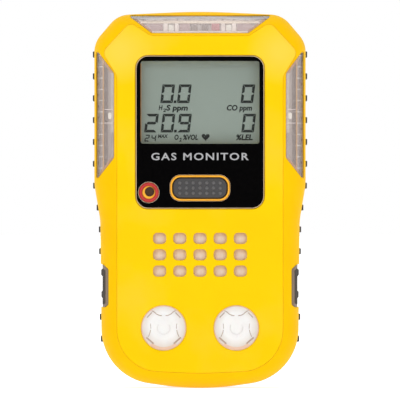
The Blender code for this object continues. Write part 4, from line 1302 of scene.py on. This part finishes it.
def heart(centre, size):
    x, z = centre
    turn = [2 * pi * k / 24 for k in range(24)]
    scale = size / 32
    return [
        (
            x + scale * 16 * sin(a) ** 3,
            z + scale * (13 * cos(a) - 5 * cos(2 * a) - 2 * cos(3 * a) - cos(4 * a)),
        )
        for a in turn
    ]


def lettering(name, text, x_range, z_range, depths, spacing=1.0, bold=0.0, shear=0.0):
    """Text drawn as thin plates that fill a box."""
    curve = bpy.data.curves.new(name, "FONT")
    curve.body = text
    curve.space_character = spacing
    curve.offset = bold
    curve.shear = shear
    curve.resolution_u = 3
    curve.extrude = 0.5
    mesh = mesh_of(curve)
    xs = [v.co.x for v in mesh.vertices]
    ys = [v.co.y for v in mesh.vertices]
    zs = [v.co.z for v in mesh.vertices]
    for vertex in mesh.vertices:
        across = (vertex.co.x - min(xs)) / (max(xs) - min(xs))
        upward = (vertex.co.y - min(ys)) / (max(ys) - min(ys))
        inward = 1 - (vertex.co.z - min(zs)) / (max(zs) - min(zs))
        x = x_range[0] + (x_range[1] - x_range[0]) * across
        z = z_range[0] + (z_range[1] - z_range[0]) * upward
        vertex.co = at(x, z, depths[0] + (depths[1] - depths[0]) * inward)
    bm = bmesh.new()
    bm.from_mesh(mesh)
    bpy.data.meshes.remove(mesh)
    return new_object(name, bm)


def make_readout():
    """The lit segments and the captions of the display, as ink on the front of the glass."""
    depths = (LCD_FRONT - 0.03, LCD_FRONT + 0.01)
    bm = bmesh.new()
    tall = (4.0, 5.95)
    for text, place, size, pitch, bar in (
        ("0.0", (-12.3, 90.85), tall, 5.3, 0.85),
        ("0", (13.25, 90.85), tall, 5.3, 0.85),
        ("20.9", (-17.45, 81.5), tall, 5.25, 0.85),
        ("0", (13.5, 81.5), tall, 5.3, 0.85),
        ("24", (-17.6, 78.6), (1.5, 2.2), 2.1, 0.36),
    ):
        digit_plates(bm, text, place, size, pitch, bar, depths)
    add_plate(bm, heart((1.8, 80.1), 2.6), *depths)
    parts = [new_object("digits", bm)]
    for text, x_range, z_range in (
        ("H", (-13.15, -11.9), (88.6, 90.15)),
        ("2", (-11.8, -10.85), (88.0, 89.15)),
        ("S ppm", (-10.8, -3.85), (87.9, 90.3)),
        ("CO ppm", (8.5, 16.6), (87.9, 90.3)),
        ("MAX", (-13.4, -10.2), (79.75, 80.9)),
        ("O", (-8.15, -6.8), (79.1, 80.85)),
        ("2", (-6.65, -5.85), (78.6, 79.8)),
        ("%VOL", (-5.45, -0.6), (79.1, 80.85)),
        ("%LEL", (11.4, 16.8), (79.0, 80.9)),
    ):
        parts.append(lettering("caption", text, x_range, z_range, depths, bold=0.04, shear=0.15))
    finish(merged("lcd_readout", parts), "segment_ink", weighted=False)

    place = ((-15.5, 15.5), (72.65, 75.0), (0.47, 0.5))
    title = lettering("panel_title", "GAS MONITOR", *place, spacing=1.2, bold=0.015)
    finish(title, "title_ink", weighted=False)


def dome(name, centre, radius, top, base, segments=16):
    """A round bump whose top is at one depth and whose foot is at another."""
    profile = [(radius * cos(a), base - (base - top) * sin(a)) for a in quarter(4)[:-1]]
    tip = [(radius * 0.12, top + 0.003)]
    return turned(name, (*centre, 0), "depth", [(radius, base + 0.3)] + profile + tip, segments)


def make_button():
    top = rectangle_corners((0, BUTTON_Z), BUTTON_SIZE, 8)
    key = rounded_prism("button_visible", top, 0.35, 3.6, (0.5, 0.4), 6)
    flange = rounded_rectangle((0, BUTTON_Z), grown(COLLAR_OPENING, 1.6))
    join(key, prism("flange", flange, 3.4, 4.4))
    join(key, post((0, BUTTON_Z), 1.6, 4.0, 5.6, 32))
    bumps = []
    columns, rows, pitch_x, pitch_z = 7, 3, 2.15, 1.64
    for i in range(columns):
        for j in range(rows):
            centre = ((i - (columns - 1) / 2) * pitch_x, BUTTON_Z + (j - (rows - 1) / 2) * pitch_z)
            bumps.append(dome("bump", centre, 0.52, -0.05, 0.36))
    # the bumps are painted a lighter grey than the key, as painted highlights on them
    paint(key, "button_grey", "bump_highlight_grey")
    bumps = merged("bumps", bumps)
    paint(bumps, "button_grey", "bump_highlight_grey", index=1)
    join(key, bumps)
    finish(key, None, "push_button", ["push_button"], sharp=50)


# Gas inlets


def groove(points, width):
    """The outline of a groove of a given width that follows a line of (x, z) points."""
    left, right = [], []
    line = [Vector(p) for p in points]
    for i, here in enumerate(line):
        ahead = line[min(i + 1, len(line) - 1)] - line[max(i - 1, 0)]
        side = Vector((-ahead.y, ahead.x)).normalized() * (width / 2)
        left.append((here.x + side.x, here.y + side.y))
        right.append((here.x - side.x, here.y - side.y))
    return left + right[::-1]


def arc_points(start, end, bulge, steps=8):
    """Points from start to end along a shallow arc that stands out to the left by bulge."""
    a, b = Vector(start), Vector(end)
    side = Vector((-(b - a).y, (b - a).x)).normalized()
    return [
        tuple(a.lerp(b, k / steps) + side * (bulge * 4 * (k / steps) * (1 - k / steps)))
        for k in range(steps + 1)
    ]


def screen_grooves():
    """The lines pressed into a sensor screen, as (points, width) about its middle; the right-hand half."""
    scallop = arc_points((0.6, 3.95), (2.1, 4.35), -0.12) + arc_points((2.4, 4.5), (3.8, 5.5), 0.12)
    return [
        (scallop, 0.26),
        ([(3.75, 4.9), (5.3, 3.3)], 0.3),
        (arc_points((4.9, -2.8), (4.15, -0.6), 0.1), 0.22),
        (arc_points((4.05, -0.2), (4.2, 1.4), 0.02), 0.16),
        ([(3.2, -5.0), (5.5, -3.0)], 0.5),
    ]


def faint_ring():
    """The right-hand half of the ring in the middle of a sensor screen, which is open at its top.

    It starts a little to the right of the middle, so that the two halves don't touch.
    """
    turn = [radians(-88 + 12 * k) for k in range(11)]
    return [([(FAINT_RING * cos(a), FAINT_RING * sin(a)) for a in turn], 0.26)]


def in_rim(centre, middle_x):
    """Whether a point is on the rim of the screen at middle_x, painted with shade and with the yellow
    reflected from the shell; the band is wider at the bottom.
    """
    x, z, depth = design_place(centre)
    drop = z - SENSOR_Z
    radius = hypot(x - middle_x, drop)
    return radius > 6.7 or (radius > 6.2 and drop < -0.8 * radius)


SCREEN_COLOURS = ("screen_white", "screen_pink", "screen_rim_painted_light", "screen_grey")
FAINT_RING = 2.0


def make_screens():
    steps = 10
    crown = []
    for k in range(steps + 1):
        a = radians(86) * k / steps
        crown.append((SCREEN_EDGE * (0.28 + 0.72 * sin(a)), 0.16 + 0.44 * (1 - cos(a))))
    for side, x in (("left", -SENSOR_X), ("right", SENSOR_X)):
        profile = crown + [(SCREEN_EDGE, 1.0), (SCREEN_EDGE, 3.4), (8.6, 3.4), (8.6, 4.1)]
        screen = turned(f"{side}_screen_visible", (x, SENSOR_Z, 0), "depth", profile, 96)
        paint(screen, *SCREEN_COLOURS)
        # the rim faces get painted shade and painted yellow reflection
        painted_where(screen, lambda face: in_rim(face.center, x), 2)
        under = [(r, d + 0.14) for r, d in crown] + [(SCREEN_EDGE + 0.5, 3.0), (SCREEN_EDGE + 0.5, 5)]
        for index, lines in ((1, screen_grooves()), (3, faint_ring())):
            cutters = []
            for points, width in lines:
                for sign in (1, -1):
                    outline = [(x + sign * px, SENSOR_Z + pz) for px, pz in groove(points, width)]
                    cutters.append(prism("groove", outline, -1, 4))
            cutters = merged("grooves", cutters)
            cut(cutters, turned("floor", (x, SENSOR_Z, 0), "depth", under, 96))
            paint(cutters, *SCREEN_COLOURS, index=index)
            cut(screen, cutters)
        finish(screen, None, replaces=[f"{side}_sensor_screen"], sharp=50)


# Side grips


def nub_outline(k, foot):
    z = NUB_TOP - k * NUB_PITCH
    low, high = z - NUB_HEIGHT / 2, z + NUB_HEIGHT / 2
    tip = half_width(z) + NUB_RISE
    inner = half_width(z) - foot
    return [(inner, low), (tip, low + 0.15), (tip, high - 0.15), (inner, high)]


def grip_foot(margin):
    low, high = GRIP_Z[0] - margin, GRIP_Z[1] + margin
    return [(half_width(z) - GRIP_FOOT - margin, z) for z in (high, 64.8, 53.5, 19.0, low)]


def in_notch(seen, margin, outer, depths):
    """A solid that fills a dock notch but for margin, out to x = outer."""
    outline = outline_of(inset(rounded_corners(NOTCH, NOTCH_ROUNDING, 5), margin))
    return clip_to(prism("tongue", seen(outline), *depths), box("reach", (-outer, outer), (20, 45), (0, 30)))


def bevelled(obj, width, segments=3, angle=35):
    """Rounds every edge sharper than an angle."""
    bevel = obj.modifiers.new("bevel", "BEVEL")
    bevel.width = width * MM
    bevel.segments = segments
    bevel.limit_method = "ANGLE"
    bevel.angle_limit = radians(angle)
    return applied(obj)


def make_grips():
    low, high = GRIP_Z
    edge = [(half_width(low) - GRIP_INSET, low)]
    for k in reversed(range(NUB_COUNT)):
        sink = DOCK_NUB_SINK if k in DOCK_NUBS else 0.0
        edge += [(x - sink, z) for x, z in nub_outline(k, GRIP_INSET)]
    edge += [(half_width(high) - GRIP_INSET, high)]
    strip = edge + grip_foot(0.0)
    outer = half_width(NUB_TOP - NUB_PITCH * sum(DOCK_NUBS) / 2) - DOCK_INSET
    front, back = TONGUE_DEPTH
    pad_inset, pad_lift = PAD_INSET
    for side, seen in (("right", list), ("left", mirrored_points)):
        grip = bevelled(prism(f"{side}_grip_visible", seen(strip), *GRIP_DEPTH), 0.12, 2)
        paint(grip, "dark_rubber", "chamfer_light_rubber")
        # the tongue is painted the paler rubber, as painted light on its chamfered edge round the dark pad
        tongue = bevelled(in_notch(seen, TONGUE_GAP, outer, (front, back)), 0.2, 3)
        paint(tongue, "dark_rubber", "chamfer_light_rubber", index=1)
        join(grip, tongue)
        pad = in_notch(seen, pad_inset, outer + 0.05, (front - pad_lift, front + 2.0))
        join(grip, bevelled(pad, 0.12, 2))
        for k in DOCK_NUBS:
            outline = [(x - DOCK_NUB_SINK, z + DOCK_NUB_RISE) for x, z in nub_outline(k, 0.2)]
            nub = prism("nub", seen(outline), front, GRIP_DEPTH[0] + 1.0)
            join(grip, bevelled(nub, 0.12, 2))
        finish(grip, None, replaces=[f"{side}_grip"])


def grip_grooves():
    outside = SILHOUETTE[4][0] + 3.0
    low, high = GRIP_Z
    strip = [(outside, low - 0.1), (outside, high + 0.1)] + grip_foot(0.1)
    made = []
    for seen in (list, mirrored_points):
        made.append(prism("groove", seen(strip), GRIP_DEPTH[0] - 0.1, GRIP_DEPTH[1] + 0.1))
        made.append(in_notch(seen, 0.0, outside, (10, TONGUE_DEPTH[1] + 0.1)))
    return made


# Back


def make_rear_shell():
    back = HOUSING_DEPTH
    side, reach, depth = REAR_CORNER
    corner = [(side + reach * (1 - cos(a)), back - depth * (1 - sin(a))) for a in quarter(10)]
    outside = [(side, REAR_SHELL_FRONT)] + corner
    inside = [(side + 1.7, REAR_SHELL_FRONT - 2), (side + 1.7, back - 6.4), (side + 4.9, back - 1.7)]
    shell = loft("rear_shell_visible", [(outline_of(inset(WHOLE_SILHOUETTE, a)), d) for a, d in outside])
    cut(shell, loft("cavity", [(outline_of(inset(WHOLE_SILHOUETTE, a)), d) for a, d in inside]))
    start = REAR_SHELL_FRONT + 0.2
    bosses = [post(place, BOSS_RADIUS, start, back - 2.0, 32) for place in SCREW_PLACES.values()]
    bosses.append(post((0, CLIP_SCREW_Z), 3.4, back - 6.6, back - 1.5, 32))
    for x in (-CLIP_HALF_WIDTH - 1.0, CLIP_HALF_WIDTH + 1.0):
        rail = box("rib", (x - 0.6, x + 0.6), (58.0, 96.0), (back - 1.0, back + 1.1))
        bosses.append(bevelled(rail, 0.35, 3))
    join(shell, *bosses)
    for x, z in SCREW_PLACES.values():
        sink = SCREW_HEAD + 0.3
        mouth = [(sink, back - 0.5), (sink + 0.5, back + 0.01), (sink + 0.5, back + 2)]
        bore = [(PILOT_RADIUS, 14), (PILOT_RADIUS, SCREW_SEAT), (sink, SCREW_SEAT)] + mouth
        cut(shell, turned("bore", (x, z, 0), "depth", bore, 40))
    cut(shell, post((0, CLIP_SCREW_Z), 2.1, back - 8, back + 2, 40))
    pocket = rounded_rectangle(LABEL_CENTRE, grown(LABEL_SIZE, 0.2), 6)
    cut(shell, prism("label_pocket", pocket, back - 0.5, back + 1))
    cut(shell, prism("ir_hole", rounded_rectangle(IR_CENTRE, (9.0, 3.6, 1.6), 6), back - 6, back + 1))
    for z in SCORE_Z:
        cut(shell, box("score", (-15.0, 15.0), (z - 0.35, z + 0.35), (back - 0.5, back + 1)))
    cut(shell, *grip_grooves())
    finish(shell, "dark_plastic", replaces=["rear_shell"])


def make_rear_details():
    back = HOUSING_DEPTH
    label = rectangle_corners(LABEL_CENTRE, LABEL_SIZE)
    label = rounded_plate("label_visible", label, back - 0.4, back - 0.1, 0.05)
    finish(label, "label_film", replaces=["rear_label"])
    parts = [
        lettering("caption", "GAS MONITOR", (-13.5, 6.0), (37.6, 39.6), LABEL_PRINT),
        lettering("caption", "H2S  CO  O2  LEL", (-13.5, 9.0), (34.0, 35.6), LABEL_PRINT),
    ]
    bm = bmesh.new()
    for z in (31.4, 20.4):
        add_plate(bm, [(-13.6, z), (13.6, z), (13.6, z + 0.25), (-13.6, z + 0.25)], *LABEL_PRINT)
    parts.append(new_object("rules", bm))
    print_on_label = merged("label_print", parts)
    for vertex in print_on_label.data.vertices:
        vertex.co.x *= -1  # so that it reads from behind
    print_on_label.data.flip_normals()
    finish(print_on_label, "segment_ink", weighted=False)

    outline = rounded_rectangle(IR_CENTRE, (8.6, 3.2, 1.4), 8)
    lens = prism("ir_window_visible", outline, back - 3.0, back - 0.1)
    finish(bevelled(lens, 0.15), "component_black", replaces=["ir_window"])


def screw_body(name, place, profile, socket_radius, socket_depth, segments=40):
    """A button-headed screw with a hexagonal socket, along the depth axis."""
    x, z = place
    top = profile[-1][1]
    screw = turned(name, (x, z, 0), "depth", profile, segments)
    lead = [(socket_radius, top - socket_depth), (socket_radius, top - 0.12)]
    lead += [(socket_radius + 0.25, top + 0.13)]
    return cut(screw, turned("socket", (x, z, 0), "depth", lead, 6))


def thread(core, crest, start, end, pitch=0.6):
    """The (radius, depth) profile of a screw's shank, as ridges that stand for its thread."""
    points, along = [], start
    while along + pitch < end:
        points += [(core, along), (crest, along + pitch / 2)]
        along += pitch
    return points + [(core, end)]


def make_screws():
    for place, centre in SCREW_PLACES.items():
        seat, top = SCREW_SEAT + 0.15, SCREW_SEAT + 2.2
        profile = [(0.84, 9.0)] + thread(0.95, 1.2, 9.4, 16.0)
        profile += [(1.2, 16.5), (1.2, seat), (SCREW_HEAD, seat)]
        profile += [(SCREW_HEAD - 0.6 * (1 - cos(a)), top - 0.6 * (1 - sin(a))) for a in quarter(4)]
        screw = screw_body(f"rear_screw_{place}_visible", centre, profile, 1.1, 1.2)
        finish(screw, "steel", replaces=[f"rear_screw_{place}"])


def ear(name, x_range):
    arch = [(PIVOT_Z + 3.0 * cos(a), PIVOT_DEPTH + 2.6 * sin(a)) for a in (k * pi / 20 for k in range(21))]
    foot = [(PIVOT_Z - 5.0, CLIP_FACE - 0.6), (PIVOT_Z + 5.0, CLIP_FACE - 0.6)]
    return side_prism(name, foot + arch, x_range)


def cheeks(half):
    return (-half, -half + CLIP_SHEET), (half - CLIP_SHEET, half)


def bent_line(line, radius=2.2, steps=6):
    """A line of (z, depth) points with its bends rounded."""
    points = [Vector(line[0])]
    for before, here, after in zip(line, line[1:], line[2:]):
        before, here, after = Vector(before), Vector(here), Vector(after)
        into, out = (here - before).normalized(), (after - here).normalized()
        reach = min(radius, (here - before).length / 2.2, (after - here).length / 2.2)
        start, end = here - into * reach, here + out * reach
        for k in range(steps + 1):
            t = k / steps
            points.append(start * (1 - t) ** 2 + here * (2 * t * (1 - t)) + end * t**2)
    return points + [Vector(line[-1])]


def strip_profile(line, thickness):
    """The (z, depth) outline of a bent sheet that follows a line, half its thickness to each side."""
    front, back = [], []
    for i, here in enumerate(line):
        into = (here - line[i - 1]).normalized() if i else None
        out = (line[i + 1] - here).normalized() if i + 1 < len(line) else into
        into = into or out
        side = Vector((-into.y - out.y, into.x + out.x)).normalized()
        reach = thickness / 2 / side.dot(Vector((-into.y, into.x)))
        front.append(here + side * reach)
        back.append(here - side * reach)
    return [(p.x, p.y) for p in front + back[::-1]]


def pin_bore():
    return turned("bore", (-12, PIVOT_Z, PIVOT_DEPTH), "x", [(1.3, 0), (1.3, 24)], 40)


def make_clip_base():
    low, high = CLIP_Z
    size = (2 * CLIP_HALF_WIDTH, high - low, 3.0)
    plate = rectangle_corners((0, (low + high) / 2), size, 8)
    base = rounded_plate("clip_base_visible", plate, CLIP_FACE - CLIP_SHEET, CLIP_FACE, 0.25)
    for x_range in cheeks(CLIP_HALF_WIDTH):
        join(base, bevelled(ear("ear", x_range), 0.18, 2))
    cut(base, pin_bore())
    cut(base, post((0, CLIP_SCREW_Z), 1.6, 30, 36, 40))
    for z in BAR_Z:
        bar = rectangle_corners((0, z), (9.0, 1.2, 0.55))
        join(base, rounded_plate("bar", bar, CLIP_FACE - 0.4, CLIP_FACE + 0.3, 0.2))
    finish(base, "steel", replaces=["clip_base"])


def make_clip_jaw():
    line = bent_line(JAW_LINE)
    half = JAW_HALF_WIDTH
    jaw = side_prism("clip_jaw_visible", strip_profile(line, CLIP_SHEET), (-half, half))
    plan = rounded_rectangle((0, JAW_PLAN_Z), (2 * half, JAW_PLAN_HEIGHT, 2.4), 8)
    clip_to(jaw, prism("plan", plan, 30, 50))
    (end_z, end_depth), (bend_z, bend_depth) = JAW_LINE[:2]
    for z in RIDGE_Z:
        depth = bend_depth + (z - bend_z) * (end_depth - bend_depth) / (end_z - bend_z) + CLIP_SHEET / 2
        ridge = [(0.15, 0), (0.45, 0.3), (0.45, 8.9), (0.15, 9.2)]
        join(jaw, turned("ridge", (-4.6, z, depth - 0.05), "x", ridge, 16))
    bevelled(jaw, 0.15, 2, 50)
    turn = [k * pi / 20 - pi / 2 for k in range(21)]
    cheek = [(PIVOT_Z - 2.2 * sin(a), PIVOT_DEPTH - 2.2 * cos(a)) for a in turn]
    cheek += [(PIVOT_Z - 8.0, 41.2), (PIVOT_Z + 7.0, 41.4)]
    for x_range in cheeks(half):
        join(jaw, bevelled(side_prism("cheek", cheek, x_range), 0.12, 2))
    cut(jaw, pin_bore())
    for k in range(1, TEETH):
        x = -half + k * 2 * half / TEETH
        valley = [(x - 0.9, 50.0), (x + 0.9, 50.0), (x + 0.9, 59.0), (x, 60.6), (x - 0.9, 59.0)]
        cut(jaw, prism("valley", valley, 33.0, 39.0))
    finish(jaw, "steel", "clip_jaw", ["clip_jaw"])


def make_clip_pin():
    reach = CLIP_HALF_WIDTH + 0.2
    half_pin = [(1.2, reach), (1.7, reach), (1.9, reach + 0.2), (1.9, reach + 0.6), (1.6, reach + 0.8)]
    pin = [(radius, -along) for radius, along in reversed(half_pin)] + half_pin
    pin = turned("clip_pin_visible", (0, PIVOT_Z, PIVOT_DEPTH), "x", pin, 40)
    finish(pin, "steel_dark", replaces=["clip_pin"])


def make_clip_screw():
    seat = CLIP_FACE + 0.15
    profile = [(1.0, 26.2)] + thread(1.0, 1.25, 26.6, 33.0) + [(1.25, seat), (2.8, seat), (2.8, seat + 0.6)]
    profile += [(2.7, seat + 1.0), (2.4, seat + 1.3), (1.9, seat + 1.55)]
    screw = screw_body("clip_screw_visible", (0, CLIP_SCREW_Z), profile, 1.1, 1.0)
    finish(screw, "steel_dark", replaces=["clip_screw"])


def make_spring():
    steps = 24
    total = round(SPRING_TURNS * steps)
    points = [(-SPRING_HALF_WIDTH, 77.0, CLIP_FACE + SPRING_WIRE + 0.15)]
    for k in range(total + 1):
        a = -pi / 2 + 2 * pi * k / steps
        x = -SPRING_HALF_WIDTH + 2 * SPRING_HALF_WIDTH * k / total
        points.append((x, PIVOT_Z + SPRING_RADIUS * cos(a), PIVOT_DEPTH + SPRING_RADIUS * sin(a)))
    points.append((SPRING_HALF_WIDTH, 95.0, 40.9))
    curve = bpy.data.curves.new("spring", "CURVE")
    curve.dimensions = "3D"
    curve.bevel_depth = SPRING_WIRE * MM
    curve.bevel_resolution = 3
    curve.use_fill_caps = True
    line = curve.splines.new("POLY")
    line.points.add(len(points) - 1)
    for point, (x, z, depth) in zip(line.points, points):
        point.co = at(x, z, depth).to_4d()
    mesh = mesh_of(curve)
    spring = placed("clip_spring_visible", mesh)
    paint(spring, "steel_dark")
    mesh.shade_smooth()
    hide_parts("clip_spring")
    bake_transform(spring)


# Lights behind the alarm windows


def flank_slope(share):
    """The flank's slope and depth at a share of the way from face to silhouette."""
    sine = sin(FLANK_START) + share * (1 - sin(FLANK_START))
    slope = atan(sine / (1 - sine**2) ** 0.5)
    return slope, flank(slope)[1]


def make_led(name, place, size, fillet, tilt, axis):
    """An LED's lens, tilted to face out of the flank."""
    chip = rounded_plate("chip", rectangle_corners((0, 0), size), 0, 1.4, fillet)
    chip.data.transform(Matrix.Translation((0, -Y_FRONT * MM, -Z_BOTTOM * MM)))
    chip.data.transform(Matrix.Rotation(tilt, 4, axis))
    chip.data.transform(Matrix.Translation(at(*place)))
    chip.name = f"{name}_visible"
    finish(chip, "led_lens", replaces=[name])


def make_leds():
    face_x, side_x = FACE[4][0], SILHOUETTE[4][0]
    slope, depth = flank_slope((LED_X - face_x) / (side_x - face_x))
    for side, sign in (("left", -1), ("right", 1)):
        place = (sign * LED_X, LED_Z, depth + LED_SINK)
        make_led(f"{side}_led", place, (1.4, 2.1, 0.65), 0.2, sign * slope, "Z")
    face_z, top_z = FACE[7][1], SILHOUETTE[7][1]
    slope, depth = flank_slope((TOP_LED_Z - face_z) / (top_z - face_z))
    for side, sign in (("left", -1), ("right", 1)):
        place = (sign * TOP_LED_X, TOP_LED_Z, depth + LED_SINK)
        make_led(f"top_{side}_led", place, (1.9, 2.4, 0.4), 0.3, -slope, "X")


# What stays as it is in the CAD

CARRIED = {
    "main_seal": "dark_rubber",
    "window_adhesive": "window_edge",
    "switch_body": "component_black",
    "switch_plunger": "steel",
    "inlet_membrane": "membrane",
    "inlet_gasket": "dark_rubber",
    "combustible_sensor": "steel",
    "left_sensor_gasket": "dark_rubber",
    "right_sensor_gasket": "dark_rubber",
    "left_sensor_cell": "white_plastic",
    "right_sensor_cell": "white_plastic",
    "main_board": "board_green",
    "sensor_board": "board_green",
    "board_flex": "cell_wrap",
    "lcd_glass": "lcd_green",
    "lcd_holder": "white_plastic",
    "lcd_contact_strip": "dark_rubber",
    "buzzer": "buzzer_brown",
    "vibration_motor": "steel",
    "vibrator_weight": "brass",
    "left_battery_cell": "cell_wrap",
    "right_battery_cell": "cell_wrap",
    "battery_tray": "white_plastic",
    "clip_insert": "brass",
}


def paint_carried():
    for name, material in CARRIED.items():
        paint(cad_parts[name], material)


def make_all():
    make_camera()
    make_stage()
    make_front_shell()
    make_bumper()
    make_alarm_windows()
    make_reflectors()
    make_leds()
    make_display()
    make_readout()
    make_button()
    make_screens()
    make_grips()
    make_rear_shell()
    make_rear_details()
    make_screws()
    make_clip_base()
    make_clip_jaw()
    make_clip_pin()
    make_clip_screw()
    make_spring()
    paint_carried()


make_all()
